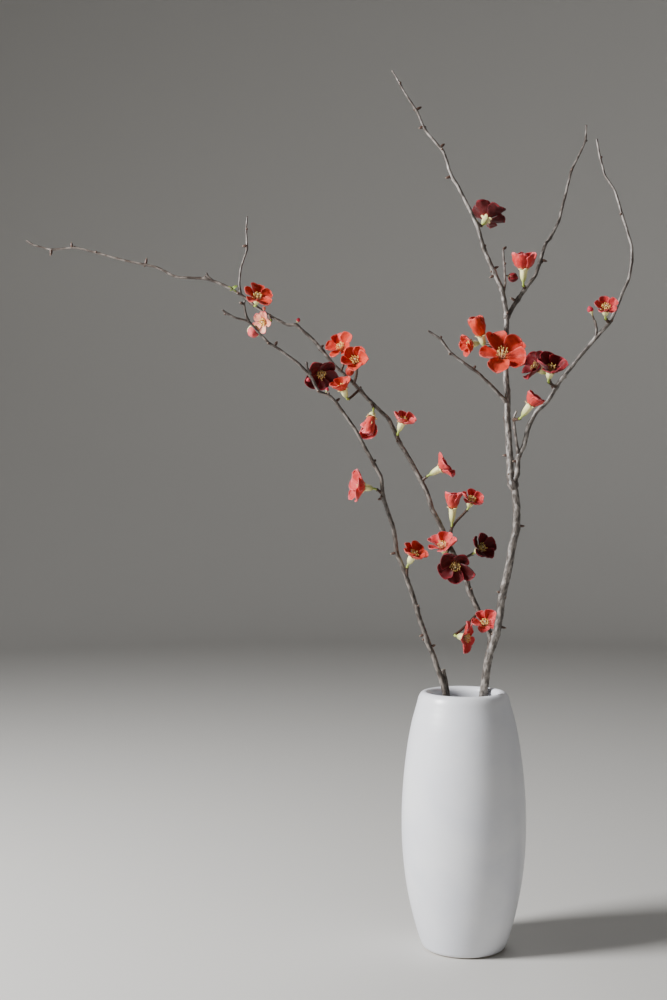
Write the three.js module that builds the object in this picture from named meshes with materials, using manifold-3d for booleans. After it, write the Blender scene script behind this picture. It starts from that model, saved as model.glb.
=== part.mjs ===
// Flowering quince branches in a tall white porcelain vase, set in the manner of an ikebana arrangement.
// Millimetres, +Z up, the front is -Y. The origin is the middle of the vase's underside.
import * as THREE from "three";
import { mergeVertices } from "three/addons/utils/BufferGeometryUtils.js";
import Module from "manifold-3d";

const wasm = await Module();
wasm.setup();

const GAP = 0.3; // clearance between two pieces that touch
const SAME_POINT = 1e-3; // corners nearer than this are one
const DEGREE = Math.PI / 180;
const UP = new THREE.Vector3(0, 0, 1);
const FRONT = new THREE.Vector3(0, -1, 0);

const COLOURS = {
  porcelain: { color: 0xf0eee8, roughness: 0.45 },
  water: { color: 0xcfdcdc, roughness: 0.05 },
  bark: { color: 0x54443c, roughness: 0.75 },
  calyx: { color: 0xd0d39a, roughness: 0.6 },
  vermilion: { color: 0xd9492f, roughness: 0.55 },
  crimson: { color: 0x9c1f24, roughness: 0.6 },
  maroon: { color: 0x4a1216, roughness: 0.6 },
  pink: { color: 0xeb9a92, roughness: 0.55 },
};

// Vase

const VASE_SIDES = 36;
const FLOOR_TOP = 8;
const WATER_LEVEL = 168;
const VASE_OUTSIDE = [
  [31, 0],
  [34.8, 1.2],
  [37.2, 5.5],
  [43, 24],
  [48.6, 49],
  [52.2, 76],
  [53.6, 106],
  [52.6, 136],
  [49.6, 166],
  [45.4, 191],
  [40.6, 209],
];
const VASE_LIP = [
  [38.2, 217],
  [35, 220],
  [31.6, 219.4],
  [30, 216],
];
const VASE_INSIDE = [
  [32.4, 208],
  [39.4, 189],
  [45.4, 159],
  [48.3, 118],
  [47, 76],
  [42, 43],
  [35, 18],
  [28.5, FLOOR_TOP],
];

// Branches. A route point is [across, up, away, swell]: across and up are read on the plane through the vase
// axis from the viewer's eye, away is how far the point lies behind that plane, and swell thickens a node.
// A bud is the same, with its radius last where it is a flower bud.

const EYE = { across: -112.5, up: 385.5, distance: 1178 };
const STOUT = 2.5; // a limb thicker than this at its foot has the larger number of sides
const STOUT_SIDES = 6;
const SLIM_SIDES = 5;
const WINTER_BUD = 1.1; // radius of a bud whose route point gives none
const BUD_FOOT = 0.7; // radius of any bud in the bark
const BUD_NECK = 0.4; // radius of a flower bud's neck, over its widest
const BUD_POINT = 1.25; // length of the point beyond the widest place, over that radius
const BUD_SIDES = 4;
const ASLANT = new THREE.Vector3(0.3, 1, 0.2); // a direction that no bud has, to lay its sides out from

const LOW_BRANCH = {
  thick: [3.1, 0.9],
  inVase: [
    [22, -9, 9.3],
    [-17, -21, 219],
  ],
  route: [
    [-20, 233, -22],
    [-25, 248, -24],
    [-32, 265, -26, 1.2],
    [-37, 280, -28],
    [-41, 293, -30, 1.2],
    [-47, 312, -32],
    [-52, 326, -34, 1.15],
    [-58, 340, -35],
    [-60, 359, -37],
    [-65, 374, -38],
    [-70, 388, -40, 1.25],
    [-71, 405, -41],
    [-78, 418, -42, 1.15],
    [-85, 430, -43],
    [-92, 444, -45],
    [-101, 457, -46],
    [-111, 471, -48],
    [-117, 476, -49, 1.2],
    [-125.5, 479, -50, 1.1],
    [-132, 492, -51],
    [-142, 503, -53],
    [-158, 515, -54],
    [-168, 521, -56, 1.2],
    [-177, 530, -57],
    [-186, 540, -58, 1.3],
    [-197, 543, -59],
    [-205, 547, -60, 1.3],
    [-209, 550, -61],
  ],
  twigs: [
    {
      thick: [2.4, 2.1],
      route: [
        [-13, 205, -20],
        [-14.5, 222, -19],
        [-18, 239, -17],
      ],
    },
    {
      thick: [0.9, 0.7],
      route: [
        [-186, 540, -58],
        [-188, 545, -59],
        [-190, 555, -60, 1.2],
        [-189, 558.5, -60],
      ],
    },
    {
      thick: [0.9, 0.8],
      route: [
        [-133, 495, -51],
        [-135.5, 500, -52],
        [-136, 505, -52, 1.3],
      ],
    },
  ],
  buds: [
    [-38.5, 291.5, -30],
    [-37.5, 268, -27],
    [-25, 260, -26],
    [-62.5, 339, -36],
    [-73.5, 386, -39],
    [-107.5, 473, -46],
    [-118, 481, -49],
    [-134, 489.5, -51],
    [-161.5, 522, -54],
    [-193, 556, -61],
  ],
};

const HIGH_BRANCH = {
  thick: [3.2, 0.8],
  inVase: [
    [-3, 5, 8.7],
    [20.6, 16.9, 219],
  ],
  route: [
    [20.5, 237, 18],
    [22.5, 251, 20, 1.15],
    [23, 270, 22],
    [18, 281, 23],
    [11.5, 292, 25],
    [5, 307, 28, 1.25],
    [2, 319, 30],
    [-5.5, 333, 32],
    [-12, 346, 33],
    [-20, 364, 35],
    [-27, 377, 36],
    [-32, 393, 38],
    [-38, 405, 39, 1.2],
    [-47, 421, 41],
    [-56, 436, 43, 1.2],
    [-60, 446, 44],
    [-65, 456, 45],
    [-79, 469, 46],
    [-90, 481, 47, 1.2],
    [-101, 492, 48],
    [-113, 503, 49],
    [-123, 516, 50, 1.15],
    [-132, 526, 51],
    [-145, 537, 53, 1.2],
    [-153, 537, 53],
    [-168, 545, 54],
    [-181, 554, 55],
    [-194, 564, 56, 1.3],
    [-211, 573, 57],
    [-223, 577, 58, 1.2],
    [-248, 578, 59],
    [-266, 587, 61],
    [-275, 589, 61, 1.25],
    [-291, 592, 62],
    [-317, 599, 64, 1.25],
    [-336, 604, 65, 1.2],
    [-356, 601.5, 66, 1.3],
    [-372, 606, 67],
    [-378, 610, 68],
  ],
  twigs: [
    {
      thick: [1.1, 0.7],
      route: [
        [-193, 563.5, 56],
        [-194, 574, 58],
        [-192.5, 587, 60],
        [-187, 603, 62, 1.3],
        [-188, 619, 64, 1.2],
        [-187, 631, 65],
      ],
    },
    {
      thick: [0.9, 0.8],
      route: [
        [-217, 575, 57.5],
        [-221, 579, 57],
        [-222.5, 582, 57, 1.2],
      ],
    },
  ],
  buds: [
    [-339, 607.5, 65],
    [-274, 594, 61],
    [-143, 541, 52],
    [-121.5, 519, 50],
    [-199, 569, 55],
    [-357, 597.5, 66],
    [4.5, 320, 29],
    [-98, 488, 47],
    [-98.5, 496.5, 41, 4.2],
    [-190.5, 605, 62],
  ],
};

const TALL_BRANCH = {
  thick: [3.8, 3],
  inVase: [
    [-18, 16, 9.6],
    [14.4, -21.6, 219],
  ],
  route: [
    [19, 234, -23],
    [22, 252, -26],
    [28, 268, -28, 1.1],
    [31, 284, -30],
    [33, 301, -32, 1.1],
    [38, 322, -35],
    [43, 350, -38],
    [46, 361, -39, 1.1],
    [46, 382, -41],
    [43, 400, -42, 1.1],
  ],
  twigs: [
    {
      thick: [3, 0.8],
      route: [
        [43, 398, -42],
        [40.5, 407, -41, 1.15],
        [40, 420, -40, 1.1],
        [39, 440, -39],
        [37.5, 456, -38, 1.1],
        [38, 478, -37],
        [36, 497, -35],
        [37, 529, -33],
        [37, 546, -32, 1.1],
        [34, 564, -31],
        [32, 570, -30, 1.15],
        [26, 583, -29, 1.15],
        [20, 596, -28],
        [17, 604, -27, 1.15],
        [12, 622, -26],
        [5.5, 636, -24],
        [-5, 657, -22],
        [-10, 664, -21, 1.15],
        [-18, 688, -18, 1.2],
        [-30, 701, -16],
        [-34, 707, -15, 1.2],
        [-41, 723, -14, 1.15],
        [-48, 733, -13],
        [-55, 745, -12, 1.2],
        [-62, 757, -10],
      ],
    },
    {
      thick: [1.9, 0.8],
      route: [
        [37, 543, -32],
        [43, 553, -28],
        [47, 559, -25, 1.25],
        [53, 568, -22, 1.15],
        [62, 579, -18],
        [66, 591, -13, 1.2],
        [71, 608, -7],
        [75, 612, -5, 1.15],
        [83, 628, 1],
        [88, 650, 7],
        [93, 670, 13, 1.2],
        [101.5, 687, 18],
        [105.5, 696, 20, 1.15],
        [106, 710, 23],
      ],
    },
    {
      thick: [2.2, 0.8],
      route: [
        [43, 399, -42],
        [46.5, 408, -43, 1.1],
        [47, 423, -45, 1.1],
        [52, 432, -46],
        [56, 449, -48, 1.1],
        [63, 462, -51],
        [72, 470, -53],
        [80, 483, -56, 1.15],
        [86, 492, -57, 1.1],
        [101, 510, -60],
        [115, 527, -63, 1.2],
        [122, 534, -64],
        [127, 540, -64, 1.15],
        [136, 561, -66],
        [143, 577, -66],
        [145.5, 593, -65, 1.15],
        [145, 606, -64],
        [137, 632, -60, 1.15],
        [131, 653, -56],
        [122, 666, -53],
        [118, 681, -51, 1.15],
        [115, 698, -49],
      ],
    },
    {
      thick: [1.3, 0.9],
      route: [
        [47.5, 425, -45],
        [46, 434, -48],
        [44, 447, -51, 1.15],
        [43.5, 457, -53],
        [46, 463, -54],
      ],
    },
    {
      thick: [1.6, 0.9],
      route: [
        [37.5, 470, -37.5],
        [27, 481, -42],
        [13, 495, -48],
        [6, 500, -50, 1.2],
        [-11, 512, -54, 1.2],
        [-20, 525, -56, 1.2],
        [-31, 532, -58],
      ],
    },
    {
      thick: [1.1, 0.8],
      route: [
        [34, 562, -31],
        [36, 574, -22],
        [35, 589, -14, 1.15],
        [34, 602, -8],
      ],
    },
    {
      thick: [1, 0.9],
      route: [
        [114.5, 526.5, -63],
        [115, 534, -64],
        [113, 541, -65, 1.15],
      ],
    },
  ],
  buds: [
    [29.5, 306, -33],
    [36, 275, -29],
    [52, 363, -40],
    [34.5, 424, -39],
    [23, 578, -29],
    [29.5, 587, -28],
    [-15, 664, -21],
    [-17, 693, -17],
    [-38, 707, -15],
    [-37, 725, -13],
    [71.5, 592, -13],
    [43, 419, -45],
    [36.5, 604, -7],
    [41, 560, -25],
    [10, 501, -50],
    [42.5, 578, -16, 4.4],
    [109.5, 550, -66, 2.7],
  ],
};

// Blooms. `cup` is where the petals spring, as a route point, `face` is the way the flower looks, `spread` is
// the petals' angle from it at the claw and at the tip, and `via` lists points that the flower stalk passes.

const LEFT_BLOOMS = [
  {
    branch: "high", tone: "vermilion", petal: 12.5, spread: [60, 78],
    root: [-184, 556, 55], cup: [-178.5, 560, 42], face: [0.2, -0.72, 0.66],
  },
  {
    branch: "high", tone: "pink", petal: 8.5, spread: [58, 72],
    root: [-168, 545, 54], cup: [-172.5, 539.5, 41], face: [-0.6, -0.78, -0.15],
  },
  {
    branch: "high", tone: "vermilion", petal: 12.5, spread: [56, 70],
    root: [-106, 497, 48], cup: [-105, 517, 43], face: [-0.5, -0.75, 0.42],
  },
  {
    branch: "high", tone: "vermilion", petal: 12.5, spread: [48, 52],
    root: [-95, 486, 47], cup: [-93.5, 505, 26], face: [-0.12, -0.86, 0.4],
    via: [[-92.5, 493, 38]],
  },
  {
    branch: "high", tone: "maroon", petal: 15, spread: [56, 64],
    root: [-112.5, 503, 49], cup: [-124, 495.5, 44], face: [0.24, -0.84, -0.46],
  },
  {
    branch: "high", tone: "vermilion", petal: 10.5, spread: [40, 44], bell: 8,
    root: [-90, 481, 47], cup: [-104, 481, 33.5], face: [-0.34, -0.42, 0.83],
  },
  {
    branch: "high", tone: "vermilion", petal: 20, spread: [20, 2], bell: 5,
    root: [-79, 469, 46], cup: [-79.5, 457.5, 39], face: [-0.24, -0.4, -0.88],
  },
  {
    branch: "high", tone: "vermilion", petal: 11, spread: [52, 62], bell: 9,
    root: [-57, 438, 43], cup: [-53, 452.5, 30], face: [0.33, -0.45, 0.83],
  },
  {
    branch: "high", tone: "vermilion", petal: 12, spread: [52, 60], bell: 10,
    root: [-36, 402, 39], cup: [-20.5, 412.5, 33], face: [0.84, -0.22, 0.5],
  },
  {
    branch: "low", tone: "vermilion", petal: 13.5, spread: [50, 54], bell: 7.5,
    root: [-71, 391, -40], cup: [-86, 396.5, -43], face: [-0.93, -0.3, 0.12],
  },
  {
    branch: "high", tone: "vermilion", petal: 14.5, spread: [26, 18], bell: 13,
    root: [-12, 346, 33], cup: [-9.5, 378.5, 26], face: [0.02, -0.22, 0.97],
  },
  {
    branch: "low", tone: "vermilion", petal: 11.5, spread: [52, 60], bell: 8.5,
    root: [-49, 318, -33], cup: [-44, 337, -43], face: [0.38, -0.5, 0.78],
  },
  {
    branch: "high", tone: "vermilion", petal: 13, spread: [58, 68],
    root: [-12, 346, 33], cup: [-17.5, 344.5, 23], face: [-0.25, -0.5, 0.83],
  },
  {
    branch: "high", tone: "maroon", petal: 12.5, spread: [56, 66],
    root: [-4, 333, 32], cup: [14, 343, 14], face: [0.5, -0.75, 0.42],
  },
  {
    branch: "high", tone: "maroon", petal: 16.5, spread: [56, 64],
    root: [-1, 324, 30.5], cup: [-6, 331, 8], face: [-0.24, -0.84, -0.48],
  },
  {
    branch: "high", tone: "vermilion", petal: 11, spread: [58, 72],
    root: [18, 281, 23], cup: [18.5, 278.5, 9], face: [-0.1, -0.78, 0.62],
  },
  {
    branch: "high", tone: "vermilion", petal: 12.5, spread: [66, 84], bell: 6,
    root: [13.5, 289, 24.5], cup: [0, 267, -8], face: [0.9, -0.42, -0.1],
    via: [[6, 281, 16], [-2.5, 272.5, 3]],
  },
  {
    branch: "high", tone: "vermilion", petal: 10, spread: [56, 66],
    root: [-13, 349, 33.5], cup: [6.5, 384.5, 37], face: [0.25, -0.6, 0.76],
    via: [[-10.5, 363, 42]],
  },
];

const RIGHT_BLOOMS = [
  {
    branch: "tall", tone: "maroon", petal: 15.5, spread: [60, 72],
    root: [9, 628, -25], cup: [19.5, 628.5, -9], face: [0.45, 0.45, 0.77],
  },
  {
    branch: "tall", tone: "vermilion", petal: 17, spread: [60, -4], bell: 10,
    root: [53, 568, -22], cup: [52, 584.5, -30], face: [0.02, -0.12, 0.99],
  },
  {
    branch: "tall", tone: "vermilion", petal: 17, spread: [34, -12], bell: 8.5,
    root: [37, 520, -34], cup: [15, 527.5, -41], face: [-0.3, -0.25, 0.92],
    via: [[24, 518, -40]],
  },
  {
    branch: "tall", tone: "vermilion", petal: 9.5, spread: [44, 44],
    root: [37, 521, -34], cup: [7, 520, -21], face: [-0.88, -0.4, -0.2],
    via: [[25, 520, -24]],
  },
  {
    branch: "tall", tone: "vermilion", petal: 18.5, spread: [64, 90], roll: 18,
    root: [36, 505, -35], cup: [33, 509.5, -54], face: [0, -0.83, 0.56],
  },
  {
    branch: "tall", tone: "crimson", petal: 13.5, spread: [54, 64],
    root: [79, 480, -55], cup: [65, 499, -42], face: [-0.8, -0.35, 0.48],
    via: [[74, 490, -45]],
  },
  {
    branch: "tall", tone: "crimson", petal: 14.5, spread: [48, 54],
    root: [80, 483, -56], cup: [75, 496.5, -70], face: [0.1, -0.6, 0.79],
  },
  {
    branch: "tall", tone: "vermilion", petal: 11, spread: [38, 30], bell: 11,
    root: [44.5, 455, -53], cup: [57.5, 467.5, -66], face: [0.55, -0.3, 0.78],
  },
  {
    branch: "tall", tone: "vermilion", petal: 9.5, spread: [54, 62],
    root: [126, 538.5, -64], cup: [123, 550.5, -76], face: [-0.1, -0.75, 0.65],
  },
];

// A bud about to open, one piece with its stalk. `size` is the radius of the ball of petals.
const CLOSED_BUDS = [
  {
    name: "bud_low_left", branch: "low", tone: "pink", size: 5.2,
    root: [-182, 535, -58], cup: [-181, 533, -49.5], face: [-0.1, -0.82, -0.56],
  },
];

// Flower proportions, in millimetres and degrees

const FIFTH = 72; // from one petal to the next
const SHEET = 0.7; // petal thickness
const CLAW_INNER = 2.5; // the ring that the five petals grow from
const CLAW_OUTER = 3.4;
const CLAW_GAP = 0.5; // what a petal leaves of its room towards the flower's axis
const CLAW = Math.tan(26 * DEGREE); // half of a petal's width at the ring, over the radius
const SECTOR = Math.tan(31 * DEGREE); // half of the room that a petal has, over the radius
const PETAL_WIDTH = 0.47; // half width over length
const STEEP = 0.9; // a flower that looks up or down more than this lays its first petal out from the front
const SHORTEST = 0.88; // a petal's length over the one that its flower states
const LONGEST = 1.08;
const PETAL_LEANS = 16; // how many degrees the petals of one flower differ by
const PETAL_DISH = 0.2; // how far the sides lift, over the half width
const PETAL_ROWS = [
  { along: 0, width: 0 },
  { along: 0.42, width: 0.82 },
  { along: 0.82, width: 0.94 },
];
const BELL = 7; // length of the cup under the petals
const BELL_SIDES = 5;
const BELL_BELLY = { share: 0.45, radius: 2.9 }; // how far down its length the cup is widest
const BELL_FOOT = 1.25; // radius where the stalk meets the cup
const STALK = 0.95;
const STALK_ROOT = 0.9; // radius of the stalk in the bark
const STAR_TIP = { radius: 5.2, height: 0 }; // five lobes round the mouth of the bell, between the petals
const STAR_VALLEY = { radius: 3.9, height: -0.5 };
const MOUTH = { radius: 1.2, height: -0.9 }; // where the stamens stand
const STAMEN_REACH = [0.4, 0.52]; // the shortest and the longest, over the petal's length
const STAMEN_OUT = 0.9; // how far a stamen's head would stand from the axis if it had no length
const STAMEN_SPLAY = 0.28; // what each millimetre of length adds to that
const STAMEN_HALF = 0.4; // half of the head's width
const STAMEN_DEPTH = 0.75;
const BUD_FOLDS = [
  { along: 0.6, wide: 0.92 },
  { along: 1.35, wide: 0.9 },
  { along: 1.9, wide: 0.45 },
];
const BUD_SEAT = 0.42; // radius of the stalk under the ball, over the ball's radius
const BUD_LENGTH = 2.05; // over the ball's radius
const BUD_GROOVE = 0.86; // radius between two folded petals, over that on their backs

// Draws repeatable numbers from 0 to 1.
function dice(seed) {
  let state = seed;
  return () => {
    state = (state * 1664525 + 1013904223) % 4294967296;
    return state / 4294967296;
  };
}

// A route point in the frame of the part.
function placed([across, up, away]) {
  const reach = away / EYE.distance;
  return new THREE.Vector3(across + (across - EYE.across) * reach, away, up + (up - EYE.up) * reach);
}

function solid(points, triangles) {
  const vertProperties = new Float32Array(points.flatMap((p) => [p.x, p.y, p.z]));
  const triVerts = new Uint32Array(triangles.flat());
  return new wasm.Manifold(new wasm.Mesh({ numProp: 3, vertProperties, triVerts }));
}

function geometryOf(made) {
  const { vertProperties, triVerts } = made.getMesh();
  const geometry = new THREE.BufferGeometry();
  geometry.setAttribute("position", new THREE.BufferAttribute(vertProperties, 3));
  geometry.setIndex(new THREE.BufferAttribute(triVerts, 1));
  return geometry;
}

function meshOf(name, geometry, look) {
  geometry.computeVertexNormals();
  const mesh = new THREE.Mesh(geometry, new THREE.MeshStandardMaterial({ ...COLOURS[look], metalness: 0 }));
  mesh.name = name;
  return mesh;
}

// Joins rings of points into an open skin. A ring may have twice the points of the one before it.
function skin(rings) {
  const points = rings.flat();
  const triangles = [];
  let low = 0;
  for (let i = 0; i + 1 < rings.length; i++) {
    const n = rings[i].length;
    const high = low + n;
    for (let j = 0; j < n; j++) {
      const k = (j + 1) % n;
      if (rings[i + 1].length === n) {
        triangles.push([low + j, low + k, high + k], [low + j, high + k, high + j]);
      } else {
        const valley = high + 2 * j + 1;
        triangles.push([low + j, valley, high + 2 * j], [low + j, low + k, valley]);
        triangles.push([low + k, high + 2 * k, valley]);
      }
    }
    low = high;
  }
  return { points, triangles, lastStart: low, first: rings[0].length, last: rings.at(-1).length };
}

// Closes one end of a skin with a fan, from its own first corner or from `tip`.
function close(surface, atEnd, tip) {
  const { points, triangles } = surface;
  const start = atEnd ? surface.lastStart : 0;
  const n = atEnd ? surface.last : surface.first;
  const hub = tip ? points.push(tip) - 1 : start;
  for (let j = tip ? 0 : 1; j < (tip ? n : n - 1); j++) {
    const [a, b] = [start + j, start + ((j + 1) % n)];
    triangles.push(atEnd ? [hub, a, b] : [hub, b, a]);
  }
  return surface;
}

function closedSkin(rings, firstTip, lastTip) {
  const surface = close(close(skin(rings), false, firstTip), true, lastTip);
  return solid(surface.points, surface.triangles);
}

function ringAround(centre, across, along, radius, sides) {
  return Array.from({ length: sides }, (_, j) => {
    const turn = (2 * Math.PI * j) / sides;
    return centre
      .clone()
      .addScaledVector(across, radius * Math.cos(turn))
      .addScaledVector(along, radius * Math.sin(turn));
  });
}

// Sweeps a round section of changing radius along a line of points.
function limb(points, radii, sides) {
  const clamped = (i) => points[Math.min(Math.max(i, 0), points.length - 1)];
  const heading = (i) => clamped(i + 1).clone().sub(clamped(i - 1)).normalize();
  let forward = heading(0);
  const side = new THREE.Vector3(1, 0, 0).addScaledVector(forward, -forward.x).normalize();
  const rings = points.map((point, i) => {
    const next = heading(i);
    side.applyQuaternion(new THREE.Quaternion().setFromUnitVectors(forward, next));
    forward = next;
    return ringAround(point, side, forward.clone().cross(side), radii[i], sides);
  });
  return closedSkin(rings);
}

// A solid of revolution about Z, from a profile of [radius, height] that starts and ends on the axis.
function revolved(profile, sides) {
  const outline = profile.map(([radius, height]) => new THREE.Vector2(radius, height));
  const lathe = new THREE.LatheGeometry(outline, sides).rotateX(Math.PI / 2);
  lathe.deleteAttribute("normal");
  lathe.deleteAttribute("uv");
  const merged = mergeVertices(lathe, SAME_POINT);
  const vertProperties = merged.attributes.position.array;
  const triVerts = new Uint32Array(merged.index.array);
  return new wasm.Manifold(new wasm.Mesh({ numProp: 3, vertProperties, triVerts }));
}

// Radii that taper with the length run, times each point's swell.
function tapered(points, [first, last], swells) {
  const runs = [0];
  for (let i = 1; i < points.length; i++) runs.push(runs[i - 1] + points[i].distanceTo(points[i - 1]));
  return runs.map((run, i) => (first + ((last - first) * run) / runs.at(-1)) * swells[i]);
}

function nearestOn(lines, point) {
  const spot = new THREE.Vector3();
  let best = null;
  for (const { points } of lines) {
    for (let i = 0; i + 1 < points.length; i++) {
      new THREE.Line3(points[i], points[i + 1]).closestPointToPoint(point, true, spot);
      if (!best || spot.distanceTo(point) < best.distanceTo(point)) best = spot.clone();
    }
  }
  return best;
}

// A pointed bud that stands on the branch and is widest at the point given. A flower bud has a neck under it.
function bud(lines, [across, up, away, radius = WINTER_BUD]) {
  const belly = placed([across, up, away]);
  const root = nearestOn(lines, belly);
  const along = belly.clone().sub(root).normalize();
  const side = ASLANT.clone().cross(along).normalize();
  const other = along.clone().cross(side);
  const neck = belly.clone().addScaledVector(along, -radius);
  const rings = [ringAround(root, side, other, BUD_FOOT, BUD_SIDES)];
  if (radius > WINTER_BUD) rings.push(ringAround(neck, side, other, BUD_NECK * radius, BUD_SIDES));
  rings.push(ringAround(belly, side, other, radius, BUD_SIDES));
  return closedSkin(rings, null, belly.clone().addScaledVector(along, BUD_POINT * radius));
}

// The lines of a branch: its stem from the foot in the vase to the tip, then its twigs.
function linesOf(branch) {
  const stem = {
    points: [...branch.inVase.map((p) => new THREE.Vector3(...p)), ...branch.route.map(placed)],
    swells: [...branch.inVase.map(() => 1), ...branch.route.map((p) => p[3] ?? 1)],
    thick: branch.thick,
  };
  const twigs = branch.twigs.map(({ thick, route }) => {
    return { points: route.map(placed), swells: route.map((p) => p[3] ?? 1), thick };
  });
  return [stem, ...twigs];
}

// A branch and its twigs as one solid, `grown` thicker and longer all round.
function branchSolid(lines, grown = 0) {
  const limbs = lines.map(({ points, swells, thick }) => {
    const radii = tapered(points, thick, swells).map((radius) => radius + grown);
    const reach = points.map((point) => point.clone());
    const stretch = (end, inner) => {
      const outward = points.at(end).clone().sub(points.at(inner)).normalize();
      reach.at(end).addScaledVector(outward, grown);
    };
    stretch(0, 1);
    stretch(-1, -2);
    return limb(reach, radii, thick[0] > STOUT ? STOUT_SIDES : SLIM_SIDES);
  });
  return limbs.reduce((whole, one) => whole.add(one));
}

// Five petals on a common ring, standing on the XY plane and opening along +Z.
function corolla({ petal, spread }, random) {
  const points = [];
  const triangles = [];
  const put = (radius, turn, sideways, height) => {
    const [c, s] = [Math.cos(turn), Math.sin(turn)];
    return points.push(new THREE.Vector3(radius * c - sideways * s, radius * s + sideways * c, height)) - 1;
  };
  const petals = [];
  for (let k = 0; k < 5; k++) {
    const turn = FIFTH * k * DEGREE;
    const length = petal * (SHORTEST + (LONGEST - SHORTEST) * random());
    const lean = PETAL_LEANS * (random() - 0.5);
    const ring = [SHEET, 0].map((height) => put(CLAW_INNER, turn - (FIFTH / 2) * DEGREE, 0, height));
    let radius = CLAW_OUTER;
    let height = SHEET / 2;
    let angle = spread[0] * DEGREE;
    // A row is a list of its columns, and a column is its corner on the top and on the bottom face.
    const rows = PETAL_ROWS.map(({ along, width }, row) => {
      angle = (spread[0] + (spread[1] - spread[0] + lean) * along) * DEGREE;
      const step = row ? (along - PETAL_ROWS[row - 1].along) * length : 0;
      radius += step * Math.sin(angle);
      height += step * Math.cos(angle);
      const half = Math.min(width * PETAL_WIDTH * length, (radius - CLAW_GAP) * SECTOR);
      return [-1, 0, 1].map((column) => [SHEET / 2, -SHEET / 2].map((off) => {
        const rise = off + (column ? half * PETAL_DISH : 0);
        const r = radius - rise * Math.cos(angle);
        const sideways = row ? Math.min(half, r * SECTOR) : r * CLAW;
        return put(r, turn, column * sideways, height + rise * Math.sin(angle));
      }));
    });
    const rest = (1 - PETAL_ROWS.at(-1).along) * length;
    const tip = [SHEET / 2, -SHEET / 2].map((off) => {
      const r = radius + rest * Math.sin(angle) - off * Math.cos(angle);
      return put(r, turn, 0, height + rest * Math.cos(angle) + off * Math.sin(angle));
    });
    petals.push({ ring, rows, tip });
  }
  // Corners are pairs: the first is on the top face and the second under it.
  const both = (a, b, c) => triangles.push([a[0], b[0], c[0]], [c[1], b[1], a[1]]);
  const wall = (a, b) => triangles.push([a[0], b[0], b[1]], [a[0], b[1], a[1]]);
  petals.forEach(({ ring, rows, tip }, k) => {
    const next = petals[(k + 1) % 5];
    const [left, middle, right] = rows[0];
    both(ring, left, middle);
    both(ring, middle, next.ring);
    both(next.ring, middle, right);
    both(next.ring, right, next.rows[0][0]);
    wall(ring, next.ring);
    wall(next.rows[0][0], right);
    for (let row = 0; row + 1 < rows.length; row++) {
      for (const column of [0, 1]) {
        both(rows[row][column], rows[row + 1][column], rows[row + 1][column + 1]);
        both(rows[row][column], rows[row + 1][column + 1], rows[row][column + 1]);
      }
      wall(rows[row + 1][0], rows[row][0]);
      wall(rows[row][2], rows[row + 1][2]);
    }
    const [lastLeft, lastMiddle, lastRight] = rows.at(-1);
    both(lastLeft, tip, lastMiddle);
    both(lastMiddle, tip, lastRight);
    wall(tip, lastLeft);
    wall(lastRight, tip);
  });
  return solid(points, triangles);
}

// Rings of a stalk that runs back from a flower's cup to its branch, listed from the branch on.
function stalkRings(flower, lines, path, side, face) {
  const stops = [
    ...path,
    ...(flower.via ?? []).map((point) => ({ at: placed(point), radius: STALK })).reverse(),
    { at: nearestOn(lines, placed(flower.root)), radius: STALK_ROOT },
  ];
  const across = side.clone();
  let back = face.clone().negate();
  const heading = (i) => {
    const ahead = stops[Math.min(i + 1, stops.length - 1)].at.clone();
    return ahead.sub(stops[i - 1].at).normalize();
  };
  const rings = stops.map(({ at, radius }, i) => {
    const next = i ? heading(i) : back;
    across.applyQuaternion(new THREE.Quaternion().setFromUnitVectors(back, next));
    back = next;
    return ringAround(at, across, across.clone().cross(back), radius, BELL_SIDES);
  });
  return rings.reverse();
}

// A ring of ten points, by turns `even` and `odd`. The even ones lie under the petals.
function starRing(onAxis, side, other, even, odd) {
  const evens = ringAround(onAxis(even.height), side, other, even.radius, 2 * BELL_SIDES);
  const odds = ringAround(onAxis(odd.height), side, other, odd.radius, 2 * BELL_SIDES);
  return evens.map((point, j) => (j % 2 ? odds[j] : point));
}

// The stalk, the bell below the petals with its five lobes, and five stamens that stand up through the ring.
function calyx(flower, lines, axes, random) {
  const { onAxis, side, other, face } = axes;
  const bell = flower.bell ?? BELL;
  const path = [
    { at: onAxis(-BELL_BELLY.share * bell), radius: BELL_BELLY.radius },
    { at: onAxis(-bell), radius: BELL_FOOT },
  ];
  const mouth = ringAround(onAxis(MOUTH.height), side, other, MOUTH.radius, 2 * BELL_SIDES);
  const star = starRing(onAxis, side, other, STAR_VALLEY, STAR_TIP);
  const rings = [...stalkRings(flower, lines, path, side, face), star, mouth];
  const surface = close(skin(rings), false);
  const { points, triangles } = surface;
  const corner = (j) => surface.lastStart + (j % surface.last);
  const hub = points.push(onAxis(MOUTH.height)) - 1;
  const [shortest, longest] = STAMEN_REACH;
  for (let j = 0; j < mouth.length; j += 2) {
    const foot = [hub, corner(j), corner(j + 1)];
    const out = mouth[j].clone().add(mouth[j + 1]).sub(onAxis(MOUTH.height).multiplyScalar(2)).normalize();
    const aside = out.clone().cross(face).multiplyScalar(STAMEN_HALF);
    const reach = flower.petal * (shortest + (longest - shortest) * random());
    const end = onAxis(reach).addScaledVector(out, STAMEN_OUT + STAMEN_SPLAY * reach);
    const head = [
      points.push(end.clone().addScaledVector(out, -STAMEN_DEPTH)) - 1,
      points.push(end.clone().add(aside)) - 1,
      points.push(end.clone().sub(aside)) - 1,
    ];
    for (const [a, b] of [[0, 1], [1, 2], [2, 0]]) {
      triangles.push([foot[a], foot[b], head[b]], [foot[a], head[b], head[a]]);
    }
    triangles.push(head, [hub, corner(j + 1), corner(j + 2)]);
  }
  return solid(points, triangles);
}

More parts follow.
